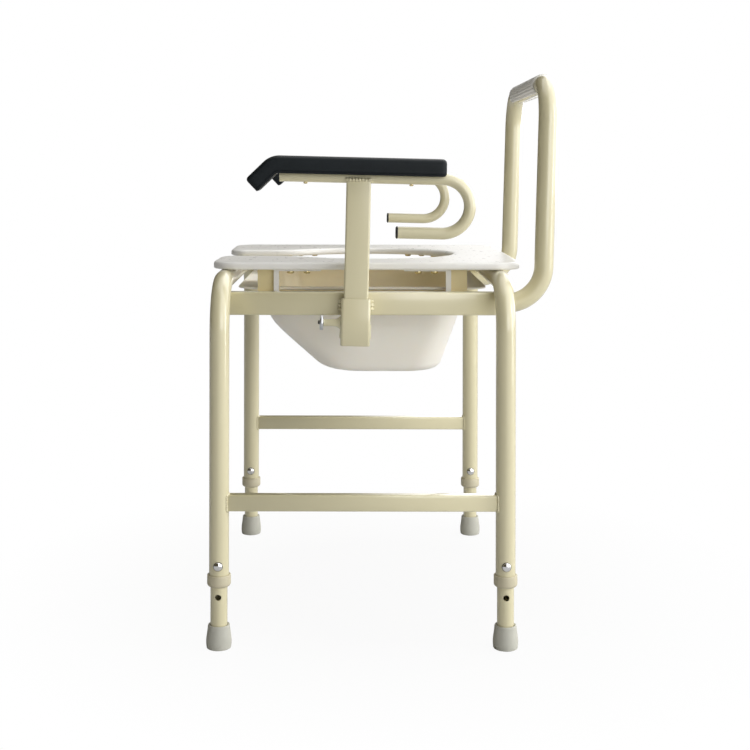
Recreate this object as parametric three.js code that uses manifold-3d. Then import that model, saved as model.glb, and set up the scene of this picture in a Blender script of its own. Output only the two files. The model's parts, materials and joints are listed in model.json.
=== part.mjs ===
// Commode chair: two bent-tube hoops on height-adjustable legs, an open-front
// seat, a slide-out pan, lift-out padded arms and a tubular backrest.
// Millimetres. +Z up, the front of the chair faces -Y, +X is the sitter's left.
// Origin: floor level, middle of the chair's bounding box.

import * as THREE from 'three';
import { mergeVertices } from 'three/addons/utils/BufferGeometryUtils.js';
import Module from 'manifold-3d';

const wasm = await Module();
wasm.setup();

// ---------------------------------------------------------------- driving dimensions
const GAP = 0.3;                 // clearance kept between neighbouring pieces
const CENTRE_SHIFT_Y = -31.1;    // moves the leg centre so that the box is centred on Y = 0

const TUBE_R = 12.7;             // main frame tube, 25.4 mm
const TUBE_WALL = 1.5;
const LEG_X = 264;               // leg centre planes
const LEG_Y = 183.4;
const HOOP_TOP_Z = 465;          // centre of the cross tube under the seat
const HOOP_BEND_R = 60;
const HOOP_BOTTOM_Z = 82.6;

const EXT_R = 10.9;              // leg extension tube
const EXT_WALL = 1.5;
const EXT_TOP_Z = 200;
const EXT_BOTTOM_Z = 6.3;
const SLIDE_GAP = 0.4;           // clearance around pieces that slide
const HOLE_R = 3.9;              // height holes
const PIN_Z = 106.5;             // locking pin
const PIN_HEAD_R = 5.5;
const PIN_HEAD_TALL = 3.1;
const HOLE_PITCH = 20;
const HOLE_FIRST = -2;           // holes run from two below the pin ...
const HOLE_LAST = 3;             // ... to three above it
const COLLAR_R = 15.15;
const COLLAR_BOTTOM_Z = 79;
const COLLAR_TOP_Z = 94;
const TIP_R = 16.25;
const TIP_TALL = 30;

const RAIL_X = 219;              // upper side rails
const RAIL_WIDE = 20;
const RAIL_TALL = 30;
const RAIL_Z = 436;
const RAIL_END_Y = 177;
const RAIL_CORNER_R = 2.5;
const LOW_RAIL_WIDE = 15;        // lower side rails
const LOW_RAIL_TALL = 21;
const LOW_RAIL_Z = 185.7;
const LOW_RAIL_END_Y = LEG_Y - TUBE_R + 3;

const SOCKET_WIDE = 22;          // arm socket, across X
const SOCKET_LONG = 38.4;        // along Y
const SOCKET_TALL = 61;
const SOCKET_CORNER_R = 4;
const SOCKET_BORE_R = 2.6;
const SOCKET_PLAY = [0.4, 0.5];  // around the upright, in X and Y
const SOCKET_DRILL = 8;          // length of the drill for the latch pin
const ARM_X = RAIL_X + RAIL_WIDE / 2 + GAP + SOCKET_WIDE / 2;
const ARM_Y = -9.2;
const ARM_Z = 414;               // middle of the socket
const ARM_LEAN = THREE.MathUtils.degToRad(1.25);
const UPRIGHT_WIDE = 18;
const UPRIGHT_LONG = 32;
const UPRIGHT_BORE_R = 1.2;
const UPRIGHT_RAISE = 2;         // its foot above the socket's lower edge
const ARM_TUBE_R = 7.8;
const ARM_TUBE_WALL = 1.2;
const ARM_TUBE_Z = 187.7;        // above the middle of the socket
const ARM_HOOK_R = 35.3;
const ARM_FRONT_Y = -102.9;
const ARM_HOOK_Y = 109.6;
const ARM_LOWER_END_Y = 52.1;
const ARM_BEND_R = ARM_HOOK_R - 0.02;  // leaves a hair of straight tube between the bends
const PAD_WIDE = 48;
const PAD_REAR_Y = 112.8;
const PAD_TOP_Z = 213.7;
const PAD_THICK = 23;
const PAD_BEVEL = 2;
const PAD_REAR_ROUND = [4, 6];   // rear corners, under and top
const PAD_UNDER_BEND_Y = -102.5; // where the underside turns down,
const PAD_TOP_BEND_Y = -114;     // and the top
const PAD_TOP_BEND_RUN = [8, 4.5, 10];  // the top's bend: ahead, down and behind that place
const PAD_HEEL = [-126.5, 24.5]; // lower corner of the front end: Y, and drop from the underside
const PAD_HEEL_ROUND = 2.5;
const PAD_TOE = [-146.5, 5];     // its front corner
const PAD_TOE_ROUND = [5.5, 4.5];
const PAD_SCREW_Y = [-69.2, 68.3];
const PAD_SCREW_R = 1.7;
const PAD_SCREW_HEAD_R = 3.1;
const PAD_SCREW_BITE = 9;        // how far it goes into the pad above the tube
const PAD_SCREW_HOLE = 22;       // length of its hole in the pad
const PLUG_CAP = 3;              // plug cap in front of the tube's end
const PLUG_LONG = 14;
const PLUG_STEP = 1.6;           // how much thinner the part inside the tube is

const LATCH_Z = -1.8;            // latch axis from the middle of the socket
const BARREL_R = 4.9;
const BARREL_LONG = 21.9;
const BARREL_FLARE_R = 8.6;
const BARREL_LIP = 2;            // thickness of the front wall that stops the spring
const SPRING_BORE_R = 3.9;
const SPRING_R = 3.3;
const SPRING_WIRE_R = 0.35;
const SPRING_LONG = 16;
const SPRING_TURNS = 4;
const SPRING_STEPS = 7;          // straight steps in one turn
const SPRING_INSET = 1.5;        // from the barrel's rear end
const PIN_R = 2.5;
const PIN_END = 2.5;             // pin end standing out of the knob
const PIN_SHORT = 0.8;           // from the pin's tip to the upright
const KNOB_R = 10;
const KNOB_THICK = 4.6;

const BACK_X = 196;              // backrest tube
const BACK_Y_LOW = 240;
const BACK_Y_TOP = 248.2;
const BACK_LEG_Z = 434;
const BACK_TOP_Z = 728.3;
const BACK_LEG_FRONT_Y = 40;
const BACK_BEND_R = 50;
const SLEEVE_HALF = 137.5;
const SLEEVE_R = 15;
const SLEEVE_SLOT_DEGREES = 35;  // half of the slot's angle

const SEAT_HALF = 200;           // seat plate
const SEAT_FRONT_Y = -201;
const SEAT_REAR_Y = 212.5;
const SEAT_BOTTOM_Z = HOOP_TOP_Z + TUBE_R + GAP;
const SEAT_THICK = 10;
const SEAT_BEVEL = 3;
const SEAT_MOUTH = 62;           // half width of the opening at the front
const SEAT_HOLE = 116;           // half width of the round part
const SEAT_HOLE_REAR_Y = 132;
const SEAT_THROAT_Y = -128;      // where the opening starts to widen
const SEAT_THROAT_PULL = 50;     // how long the widening curve keeps each end's direction
const SEAT_HOLE_PULL = 90;
const SEAT_CORNER_R = 34;
const SEAT_PRONG_R = 26;

const CRADLE_X = 183;            // outer face of the pan cradles
const CRADLE_WIDE = 22;
const CRADLE_TAB_Y = [56, 112];
const CRADLE_POST = 7;
const CRADLE_PLATE_END_Y = 141;
const CRADLE_FLOOR_Z = 443.9;
const CRADLE_FLOOR_THICK = 4;
const CRADLE_TAB_THICK = 2.7;
const CRADLE_SCREW_Y = [75, 97];
const CRADLE_SCREW_R = 5;
const CRADLE_SHANK_R = 2;
const CRADLE_SCREW_INSET = 9;    // screw line from the outer face
const CRADLE_PLATE = [7, 10];    // thin plate, its faces from the outer face
const OVERLAP = 1;               // joined boxes run this far into each other

const PAN_RIM_HALF = 165;        // pan
const PAN_RIM_FRONT_Y = -170.2;
const PAN_RIM_REAR_Y = 170.2;
const PAN_RIM_TALL = 3;
const PAN_RIM_CORNER_R = 30;
const PAN_RIM_TOP_Z = HOOP_TOP_Z - TUBE_R - 0.5;
const PAN_BOTTOM_Z = 334;
const PAN_WALL = 3;
const PAN_SIDE_PLAY = 2;         // between the pan's side and the cradle
const PAN_TAPER = 12;            // how much narrower the bottom is on each side
const PAN_CORNER = 20;           // reach of the rounded lower edges, front and rear
const PAN_SIDE_CORNER = 26;      // and at the sides
const PAN_FRONT_FOOT_Y = -51;    // front wall at the bottom,
const PAN_KNEE = [-128, 400.6];  // where it steepens,
const PAN_FRONT_TOP_Y = -146;    // and under the rim
const PAN_REAR_FOOT_Y = 106;
const PAN_REAR_SLOPE = Math.tan(THREE.MathUtils.degToRad(20));
const PAN_FOOT_INSET = 1.5;      // the sloping front wall moves this much more along Y
const PAN_KNEE_INSET = 1.3;
const PAN_SPARE = 20;            // the wedge is drawn this far above the rim, then trimmed
const FAR = 300;                 // half size of trimming boxes

const ROUND = 16;                // sides of the main tubes

// ---------------------------------------------------------------- materials
function paint(colour, roughness, metalness) {
  return new THREE.MeshStandardMaterial({ color: colour, roughness, metalness });
}

const cream = paint(0xe4dcbe, 0.32, 0.0);
const collarPlastic = paint(0xcdc6a8, 0.5, 0.0);
const tipRubber = paint(0xc8c4bc, 0.75, 0.0);
const whitePlastic = paint(0xf5f3f0, 0.35, 0.0);
const panPlastic = paint(0xd4cdc0, 0.45, 0.0);
const padBlack = paint(0x181e22, 0.55, 0.0);
const chrome = paint(0xd0d0d2, 0.15, 1.0);
const brass = paint(0xd2bd7c, 0.3, 1.0);
const silver = paint(0xb8bbc0, 0.35, 1.0);

// ---------------------------------------------------------------- assembly helpers
const chair = new THREE.Group();
chair.position.y = CENTRE_SHIFT_Y;

// Adds a named piece to a group at the geometry's own place.
function add(name, geometry, material, parent = chair) {
  const mesh = new THREE.Mesh(geometry, material);
  mesh.name = name;
  parent.add(mesh);
  return mesh;
}

// A closed geometry as a manifold solid, for cutting and joining.
function solid(geometry) {
  const bare = geometry.index ? geometry.toNonIndexed() : geometry.clone();
  bare.deleteAttribute('normal');
  bare.deleteAttribute('uv');
  const merged = mergeVertices(bare, 1e-4);
  const mesh = new wasm.Mesh({
    numProp: 3,
    vertProperties: new Float32Array(merged.attributes.position.array),
    triVerts: new Uint32Array(merged.index.array),
  });
  return new wasm.Manifold(mesh);
}

// A manifold solid back as a three.js geometry.
function geometryOf(body) {
  const mesh = body.getMesh();
  const geometry = new THREE.BufferGeometry();
  geometry.setAttribute('position', new THREE.BufferAttribute(mesh.vertProperties, 3));
  geometry.setIndex(new THREE.BufferAttribute(mesh.triVerts, 1));
  return geometry;
}

function cut(geometry, ...tools) {
  let body = solid(geometry);
  for (const tool of tools) body = body.subtract(solid(tool));
  return geometryOf(body);
}

function join(first, ...others) {
  let body = solid(first);
  for (const other of others) body = body.add(solid(other));
  return geometryOf(body);
}

function common(first, second) {
  return geometryOf(solid(first).intersect(solid(second)));
}

// ---------------------------------------------------------------- shape helpers
function box(x0, x1, y0, y1, z0, z1) {
  const geometry = new THREE.BoxGeometry(x1 - x0, y1 - y0, z1 - z0);
  geometry.translate((x0 + x1) / 2, (y0 + y1) / 2, (z0 + z1) / 2);
  return geometry;
}

function roundedRect(halfA, halfB, radius) {
  const shape = new THREE.Shape();
  shape.moveTo(-halfA + radius, -halfB);
  shape.lineTo(halfA - radius, -halfB);
  shape.absarc(halfA - radius, -halfB + radius, radius, -Math.PI / 2, 0);
  shape.lineTo(halfA, halfB - radius);
  shape.absarc(halfA - radius, halfB - radius, radius, 0, Math.PI / 2);
  shape.lineTo(-halfA + radius, halfB);
  shape.absarc(-halfA + radius, halfB - radius, radius, Math.PI / 2, Math.PI);
  shape.lineTo(-halfA, -halfB + radius);
  shape.absarc(-halfA + radius, -halfB + radius, radius, Math.PI, 1.5 * Math.PI);
  return shape;
}

// A tube ring outline; without a bore it is a full disc.
function ring(radius, bore = 0) {
  const shape = new THREE.Shape();
  shape.absarc(0, 0, radius, 0, 2 * Math.PI);
  if (bore > 0) {
    const hole = new THREE.Path();
    hole.absarc(0, 0, bore, 0, 2 * Math.PI, true);
    shape.holes.push(hole);
  }
  return shape;
}

// A round bar with its axis through (x, y, z), from -length/2 to +length/2.
function bar(axis, radius, length, x, y, z, sides = ROUND) {
  const geometry = new THREE.CylinderGeometry(radius, radius, length, sides);
  if (axis === 'x') geometry.rotateZ(Math.PI / 2);
  if (axis === 'z') geometry.rotateX(Math.PI / 2);
  geometry.translate(x, y, z);
  return geometry;
}

// Straight runs joined by arcs. Each straight is one step and each bend is
// BEND_STEPS steps, so that a swept tube has rings only where it needs them.
const BEND_STEPS = 4;

class BentPath extends THREE.Curve {
  constructor(corners, radius) {
    super();
    this.stations = [corners[0]];
    for (let i = 1; i < corners.length - 1; i += 1) {
      this.addBend(corners[i - 1], corners[i], corners[i + 1], radius);
    }
    this.stations.push(corners[corners.length - 1]);
    this.steps = this.stations.length - 1;
  }

  addBend(before, corner, after, radius) {
    const back = before.clone().sub(corner).normalize();
    const ahead = after.clone().sub(corner).normalize();
    const half = back.angleTo(ahead) / 2;
    const inward = back.clone().add(ahead).normalize();
    const centre = corner.clone().addScaledVector(inward, radius / Math.sin(half));
    const start = corner.clone().addScaledVector(back, radius / Math.tan(half)).sub(centre);
    const turn = new THREE.Vector3().crossVectors(ahead, back).normalize();
    const sweep = Math.PI - 2 * half;
    for (let i = 0; i <= BEND_STEPS; i += 1) {
      const spoke = start.clone().applyAxisAngle(turn, sweep * i / BEND_STEPS);
      this.stations.push(centre.clone().add(spoke));
    }
  }

  getPoint(t, target = new THREE.Vector3()) {
    const place = Math.min(Math.max(t, 0), 1) * this.steps;
    const index = Math.min(Math.floor(place), this.steps - 1);
    return target.lerpVectors(this.stations[index], this.stations[index + 1], place - index);
  }

  // The tangent at a station is the mean of the runs before and after it.
  getTangent(t, target = new THREE.Vector3()) {
    const index = Math.round(t * this.steps);
    const before = this.stations[Math.max(index - 1, 0)];
    const here = this.stations[index];
    const after = this.stations[Math.min(index + 1, this.steps)];
    const arriving = here.clone().sub(before).normalize();
    const leaving = after.clone().sub(here).normalize();
    return target.copy(arriving).add(leaving).normalize();
  }

  getUtoTmapping(u) {
    return u;
  }
}

function sweep(path, shape, sides = ROUND) {
  return new THREE.ExtrudeGeometry(shape, {
    extrudePath: path,
    steps: path.steps,
    curveSegments: sides,
    bevelEnabled: false,
  });
}

// Extrudes a shape drawn in (Y, Z) along X, centred on x.
function alongX(shape, width, x, bevel = 0, sides = 8) {
  const geometry = new THREE.ExtrudeGeometry(shape, {
    depth: width - 2 * bevel,
    bevelEnabled: bevel > 0,
    bevelSize: bevel,
    bevelThickness: bevel,
    bevelOffset: -bevel,
    bevelSegments: 1,
    curveSegments: sides,
  });
  geometry.translate(0, 0, bevel - width / 2);
  geometry.rotateX(Math.PI / 2);
  geometry.rotateZ(Math.PI / 2);
  geometry.translate(x, 0, 0);
  return geometry;
}

// Extrudes a shape drawn in (X, Z) along Y from y0 to y1.
function alongY(shape, y0, y1, sides = 1) {
  const geometry = new THREE.ExtrudeGeometry(shape, {
    depth: y1 - y0,
    bevelEnabled: false,
    curveSegments: sides,
  });
  geometry.rotateX(Math.PI / 2);
  geometry.translate(0, y1, 0);
  return geometry;
}

// Extrudes a shape drawn in (X, Y) along Z from z0 to z1.
function alongZ(shape, z0, z1, bevel = 0, sides = 1) {
  const geometry = new THREE.ExtrudeGeometry(shape, {
    depth: z1 - z0 - 2 * bevel,
    bevelEnabled: bevel > 0,
    bevelSize: bevel,
    bevelThickness: bevel,
    bevelOffset: -bevel,
    bevelSegments: 1,
    curveSegments: sides,
  });
  geometry.translate(0, 0, z0 + bevel);
  return geometry;
}

// Turns a closed profile of [radius, height] points about Z.
function turned(profile, sides = ROUND) {
  const points = profile.map(([radius, height]) => new THREE.Vector2(radius, height));
  const geometry = new THREE.LatheGeometry(points, sides);
  geometry.rotateX(Math.PI / 2);
  return geometry;
}

// ---------------------------------------------------------------- hoops and legs
const SIDES = [['left', 1], ['right', -1]];
const ENDS = [['front', -1], ['rear', 1]];

function hoopPath(y) {
  return new BentPath([
    new THREE.Vector3(-LEG_X, y, HOOP_BOTTOM_Z),
    new THREE.Vector3(-LEG_X, y, HOOP_TOP_Z),
    new THREE.Vector3(LEG_X, y, HOOP_TOP_Z),
    new THREE.Vector3(LEG_X, y, HOOP_BOTTOM_Z),
  ], HOOP_BEND_R);
}

// The outer half of a leg on the +X side, drilled at height z.
function drill(legX, y, z) {
  return bar('x', HOLE_R, 2 * TUBE_R, legX + TUBE_R, y, z, 12);
}

function hoop(y) {
  const tube = sweep(hoopPath(y), ring(TUBE_R, TUBE_R - TUBE_WALL), ROUND / 2);
  return cut(tube, drill(LEG_X, y, PIN_Z), drill(-LEG_X, y, PIN_Z));
}

// The hoop grown by the clearance, for cutting what is welded to it.
function hoopCutter(y) {
  return sweep(hoopPath(y), ring(TUBE_R + GAP), ROUND / 2);
}

function legExtension(x, y) {
  const tube = alongZ(ring(EXT_R, EXT_R - EXT_WALL), EXT_BOTTOM_Z, EXT_TOP_Z, 0, ROUND / 2);
  tube.translate(x, y, 0);
  const holes = [];
  for (let n = HOLE_FIRST; n <= HOLE_LAST; n += 1) {
    holes.push(bar('x', HOLE_R, 2 * EXT_R, x + EXT_R, y, PIN_Z + n * HOLE_PITCH, 8));
  }
  return cut(tube, ...holes);
}

// Stepped plastic ferrule: the tube end seats in it, the extension runs through.
function legCollar(x, y) {
  const geometry = turned([
    [EXT_R + SLIDE_GAP, COLLAR_BOTTOM_Z],
    [COLLAR_R - 2.15, COLLAR_BOTTOM_Z],
    [COLLAR_R, COLLAR_BOTTOM_Z + 2.6],
    [COLLAR_R, COLLAR_TOP_Z - 0.8],
    [COLLAR_R - 0.55, COLLAR_TOP_Z],
    [TUBE_R + GAP, COLLAR_TOP_Z],
    [TUBE_R + GAP, HOOP_BOTTOM_Z - GAP],
    [EXT_R + SLIDE_GAP, HOOP_BOTTOM_Z - GAP],
    [EXT_R + SLIDE_GAP, COLLAR_BOTTOM_Z],
  ]);
  geometry.translate(x, y, 0);
  return geometry;
}

// Cup-shaped ferrule with a flat foot, widest low down.
function rubberTip(x, y) {
  const geometry = turned([
    [0, 0],
    [TIP_R - 0.9, 0],
    [TIP_R - 0.3, 1.2],
    [TIP_R, 7],
    [TIP_R - 0.4, 14],
    [TIP_R - 2.2, TIP_TALL - 2.5],
    [TIP_R - 3, TIP_TALL],
    [EXT_R + GAP, TIP_TALL],
    [EXT_R + GAP, EXT_BOTTOM_Z - GAP],
    [0, EXT_BOTTOM_Z - GAP],
  ]);
  geometry.translate(x, y, 0);
  return geometry;
}

// Domed locking pin in the leg's +X hole, its shank ending just clear of the extension.
function heightPin(x, y) {
  const shank = HOLE_R - SLIDE_GAP;
  const seat = TUBE_R + GAP;
  const geometry = turned([
    [0, EXT_R + SLIDE_GAP],
    [shank, EXT_R + SLIDE_GAP],
    [shank, seat],
    [PIN_HEAD_R, seat],
    [PIN_HEAD_R, seat + 0.8],
    [PIN_HEAD_R * 0.84, seat + 2],
    [PIN_HEAD_R * 0.48, seat + PIN_HEAD_TALL - 0.3],
    [0, seat + PIN_HEAD_TALL],
  ], 12);
  geometry.rotateY(Math.PI / 2);
  geometry.translate(x, y, PIN_Z);
  return geometry;
}

for (const [end, endSign] of ENDS) {
  const y = endSign * LEG_Y;
  add(`${end}_hoop`, hoop(y), cream);
  for (const [side, sideSign] of SIDES) {
    const x = sideSign * LEG_X;
    const leg = `${end}_${side}`;
    add(`${leg}_collar`, legCollar(x, y), collarPlastic);
    add(`${leg}_leg_extension`, legExtension(x, y), cream);
    add(`${leg}_rubber_tip`, rubberTip(x, y), tipRubber);
    add(`${leg}_height_pin`, heightPin(x, y), chrome);
  }
}

// ---------------------------------------------------------------- side rails
// A rectangular tube along Y, saddle-cut to the hoops at both ends.
function sideRail(x, z, wide, tall, endY) {
  const outline = roundedRect(wide / 2, tall / 2, RAIL_CORNER_R);
  outline.holes.push(new THREE.Path(
    roundedRect(wide / 2 - TUBE_WALL, tall / 2 - TUBE_WALL, RAIL_CORNER_R - TUBE_WALL)
      .getPoints(1)
      .reverse(),
  ));
  const rail = alongY(outline, -endY, endY);
  rail.translate(x, 0, z);
  return cut(rail, hoopCutter(LEG_Y), hoopCutter(-LEG_Y));
}

for (const [side, sign] of SIDES) {
  const upper = sideRail(sign * RAIL_X, RAIL_Z, RAIL_WIDE, RAIL_TALL, RAIL_END_Y);
  add(`${side}_upper_side_rail`, upper, cream);
  const lower = sideRail(sign * LEG_X, LOW_RAIL_Z, LOW_RAIL_WIDE, LOW_RAIL_TALL, LOW_RAIL_END_Y);
  add(`${side}_lower_side_rail`, lower, cream);
}

// ---------------------------------------------------------------- arms
// Each arm is drawn about the middle of its socket, upright, then leaned back.
const SOCKET_FRONT_Y = -SOCKET_LONG / 2;
const BARREL_END_Y = SOCKET_FRONT_Y - GAP - BARREL_LONG;
const KNOB_BACK_Y = BARREL_END_Y - GAP;
const KNOB_FRONT_Y = KNOB_BACK_Y - KNOB_THICK;
const PIN_TIP_Y = -UPRIGHT_LONG / 2 - PIN_SHORT;

function armSocket() {
  const outline = roundedRect(SOCKET_WIDE / 2, SOCKET_LONG / 2, SOCKET_CORNER_R);
  const [playX, playY] = SOCKET_PLAY;
  const bore = roundedRect(UPRIGHT_WIDE / 2 + playX, UPRIGHT_LONG / 2 + playY, SOCKET_BORE_R);
  outline.holes.push(new THREE.Path(bore.getPoints(1).reverse()));
  const sleeve = alongZ(outline, -SOCKET_TALL / 2, SOCKET_TALL / 2);
  return cut(sleeve, bar('y', PIN_R + SLIDE_GAP, SOCKET_DRILL, 0, SOCKET_FRONT_Y, LATCH_Z, 16));
}

// Guide tube of the latch, flared by its weld where it meets the socket.
function latchBarrel() {
  const geometry = turned([
    [SPRING_BORE_R, 0],
    [BARREL_FLARE_R, 0],
    [BARREL_FLARE_R - 2, 2],
    [BARREL_R + 0.4, 4.6],
    [BARREL_R, 7],
    [BARREL_R, BARREL_LONG],
    [PIN_R + SLIDE_GAP, BARREL_LONG],
    [PIN_R + SLIDE_GAP, BARREL_LONG - BARREL_LIP],
    [SPRING_BORE_R, BARREL_LONG - BARREL_LIP],
    [SPRING_BORE_R, 0],
  ], 14);
  geometry.rotateX(Math.PI / 2);
  geometry.translate(0, SOCKET_FRONT_Y - GAP, LATCH_Z);
  return geometry;
}

function latchPin() {
  const endY = KNOB_FRONT_Y - PIN_END;
  return bar('y', PIN_R, PIN_TIP_Y - endY, 0, (PIN_TIP_Y + endY) / 2, LATCH_Z, 16);
}

function latchKnob() {
  const bore = PIN_R + GAP;
  const geometry = turned([
    [bore, 0],
    [KNOB_R - 0.7, 0],
    [KNOB_R, 0.7],
    [KNOB_R, KNOB_THICK - 0.7],
    [KNOB_R - 0.7, KNOB_THICK],
    [bore, KNOB_THICK],
    [bore, 0],
  ]);
  geometry.rotateX(Math.PI / 2);
  geometry.translate(0, KNOB_BACK_Y, LATCH_Z);
  return geometry;
}

// Return spring around the pin, inside the barrel.
class Coil extends THREE.Curve {
  constructor(radius, length, turns) {
    super();
    Object.assign(this, { radius, length, turns });
    this.steps = turns * SPRING_STEPS;
  }

  getPoint(t, target = new THREE.Vector3()) {
    const angle = 2 * Math.PI * this.turns * t;
    return target.set(
      this.radius * Math.cos(angle),
      -this.length * t,
      this.radius * Math.sin(angle),
    );
  }
}

function latchSpring() {
  const coil = new Coil(SPRING_R, SPRING_LONG, SPRING_TURNS);
  const geometry = sweep(coil, ring(SPRING_WIRE_R), 2);
  geometry.translate(0, SOCKET_FRONT_Y - GAP - SPRING_INSET, LATCH_Z);
  return geometry;
}

function armTubePath() {
  const rearY = ARM_HOOK_Y + ARM_HOOK_R;
  const lowerZ = ARM_TUBE_Z - 2 * ARM_HOOK_R;
  return new BentPath([
    new THREE.Vector3(0, ARM_FRONT_Y, ARM_TUBE_Z),
    new THREE.Vector3(0, rearY, ARM_TUBE_Z),
    new THREE.Vector3(0, rearY, lowerZ),
    new THREE.Vector3(0, ARM_LOWER_END_Y, lowerZ),
  ], ARM_BEND_R);
}

function padScrew(y) {
  const tubeBottom = ARM_TUBE_Z - ARM_TUBE_R;
  const geometry = turned([
    [0, -2.4],
    [PAD_SCREW_R, -2.2],
    [PAD_SCREW_HEAD_R, -1],
    [PAD_SCREW_HEAD_R, -GAP],
    [PAD_SCREW_R, -GAP],
    [PAD_SCREW_R, 2 * ARM_TUBE_R + PAD_SCREW_BITE],
    [0, 2 * ARM_TUBE_R + PAD_SCREW_BITE],
  ], 10);
  geometry.translate(0, y, tubeBottom);
  return geometry;
}

// The screw's shank grown by the clearance, for cutting tube and pad.
function screwCutter(length, y, z) {
  return bar('z', PAD_SCREW_R + GAP, length, 0, y, z, 12);
}

function armTube() {
  const tube = sweep(armTubePath(), ring(ARM_TUBE_R, ARM_TUBE_R - ARM_TUBE_WALL), 6);
  const through = 2 * ARM_TUBE_R + PAD_SCREW_HOLE;
  return cut(tube, ...PAD_SCREW_Y.map((y) => screwCutter(through, y, ARM_TUBE_Z + 1)));
}

// Black plug pressed into the open end of the hook, with a flat cap.
function armPlug() {
  const geometry = turned([
    [0, 0],
    [ARM_TUBE_R - 1, 0],
    [ARM_TUBE_R, 0.9],
    [ARM_TUBE_R, PLUG_CAP - GAP],
    [ARM_TUBE_R - PLUG_STEP, PLUG_CAP - GAP],
    [ARM_TUBE_R - PLUG_STEP, PLUG_LONG],
    [0, PLUG_LONG],
  ], 18);
  geometry.rotateX(-Math.PI / 2);
  geometry.translate(0, ARM_LOWER_END_Y - PLUG_CAP, ARM_TUBE_Z - 2 * ARM_HOOK_R);
  return geometry;
}

function upright() {
  const bottomZ = -SOCKET_TALL / 2 + UPRIGHT_RAISE;
  const outline = roundedRect(UPRIGHT_WIDE / 2, UPRIGHT_LONG / 2, RAIL_CORNER_R);
  const bore = roundedRect(
    UPRIGHT_WIDE / 2 - TUBE_WALL,
    UPRIGHT_LONG / 2 - TUBE_WALL,
    UPRIGHT_BORE_R,
  );
  outline.holes.push(new THREE.Path(bore.getPoints(1).reverse()));
  const column = alongZ(outline, bottomZ, ARM_TUBE_Z);
  return cut(column, sweep(armTubePath(), ring(ARM_TUBE_R + GAP), 6));
}

// Side view of the arm pad: flat top, front end turned down at 45 degrees.
function padOutline() {
  const top = PAD_TOP_Z;
  const under = PAD_TOP_Z - PAD_THICK;
  const rear = PAD_REAR_Y;
  const [underRound, topRound] = PAD_REAR_ROUND;
  const [heelY, heelDrop] = PAD_HEEL;
  const [toeY, toeDrop] = PAD_TOE;
  const [toeUnder, toeOver] = PAD_TOE_ROUND;
  const [bendAhead, bendDown, bendBehind] = PAD_TOP_BEND_RUN;
  const heelZ = under - heelDrop;
  const toeZ = under - toeDrop;
  const shape = new THREE.Shape();
  shape.moveTo(rear, under + underRound);
  shape.quadraticCurveTo(rear, under, rear - underRound, under);
  shape.lineTo(PAD_UNDER_BEND_Y, under);
  shape.lineTo(heelY + PAD_HEEL_ROUND, heelZ + PAD_HEEL_ROUND);
  shape.quadraticCurveTo(heelY, heelZ, heelY - PAD_HEEL_ROUND, heelZ + PAD_HEEL_ROUND);
  shape.lineTo(toeY + toeUnder, toeZ - toeUnder);
  shape.quadraticCurveTo(toeY, toeZ, toeY + toeOver, toeZ + toeOver);
  shape.lineTo(PAD_TOP_BEND_Y - bendAhead, top - bendDown);
  shape.quadraticCurveTo(PAD_TOP_BEND_Y, top, PAD_TOP_BEND_Y + bendBehind, top);
  shape.lineTo(rear - topRound, top);
  shape.quadraticCurveTo(rear, top, rear, top - topRound);
  return shape;
}

function armPad() {
  const pad = alongX(padOutline(), PAD_WIDE, 0, PAD_BEVEL, 4);
  const channel = sweep(armTubePath(), ring(ARM_TUBE_R + GAP), 6);
  const screwEnds = PAD_SCREW_Y.map((y) => screwCutter(PAD_SCREW_HOLE, y, ARM_TUBE_Z + 7));
  return cut(pad, channel, ...screwEnds);
}

for (const [side, sign] of SIDES) {
  const arm = new THREE.Group();
  arm.position.set(sign * ARM_X, ARM_Y, ARM_Z);
  arm.rotation.x = -ARM_LEAN;
  chair.add(arm);
  add(`${side}_arm_socket`, armSocket(), cream, arm);
  add(`${side}_latch_barrel`, latchBarrel(), cream, arm);
  add(`${side}_latch_pin`, latchPin(), padBlack, arm);
  add(`${side}_latch_knob`, latchKnob(), silver, arm);
  add(`${side}_latch_spring`, latchSpring(), chrome, arm);
  add(`${side}_arm_upright`, upright(), cream, arm);
  add(`${side}_arm_tube`, armTube(), cream, arm);
  add(`${side}_arm_pad`, armPad(), padBlack, arm);
  add(`${side}_arm_end_plug`, armPlug(), padBlack, arm);
  PAD_SCREW_Y.forEach((y, index) => {
    add(`${side}_pad_screw_${ENDS[index][0]}`, padScrew(y), brass, arm);
  });
}

// ---------------------------------------------------------------- backrest
function backPath() {
  const half = [
    new THREE.Vector3(BACK_X, BACK_LEG_FRONT_Y, BACK_LEG_Z),
    new THREE.Vector3(BACK_X, BACK_Y_LOW, BACK_LEG_Z),
    new THREE.Vector3(BACK_X, BACK_Y_TOP, BACK_TOP_Z),
  ];
  const mirrored = half.map((p) => new THREE.Vector3(-p.x, p.y, p.z)).reverse();
  return new BentPath([...half, ...mirrored], BACK_BEND_R);
}

// Split grip tube on the top bar, its slot facing down.
function backSleeve() {
  const slot = THREE.MathUtils.degToRad(SLEEVE_SLOT_DEGREES);
  const start = -Math.PI / 2 + slot;
  const end = 1.5 * Math.PI - slot;
  const shape = new THREE.Shape();
  shape.absarc(0, 0, SLEEVE_R, start, end);
  shape.absarc(0, 0, TUBE_R + GAP, end, start, true);
  const geometry = alongX(shape, 2 * SLEEVE_HALF, 0, 0, 12);
  geometry.translate(0, BACK_Y_TOP, BACK_TOP_Z);
  return geometry;
}

add('backrest_tube', sweep(backPath(), ring(TUBE_R, TUBE_R - TUBE_WALL), ROUND / 2), cream);
add('backrest_sleeve', backSleeve(), whitePlastic);

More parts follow.
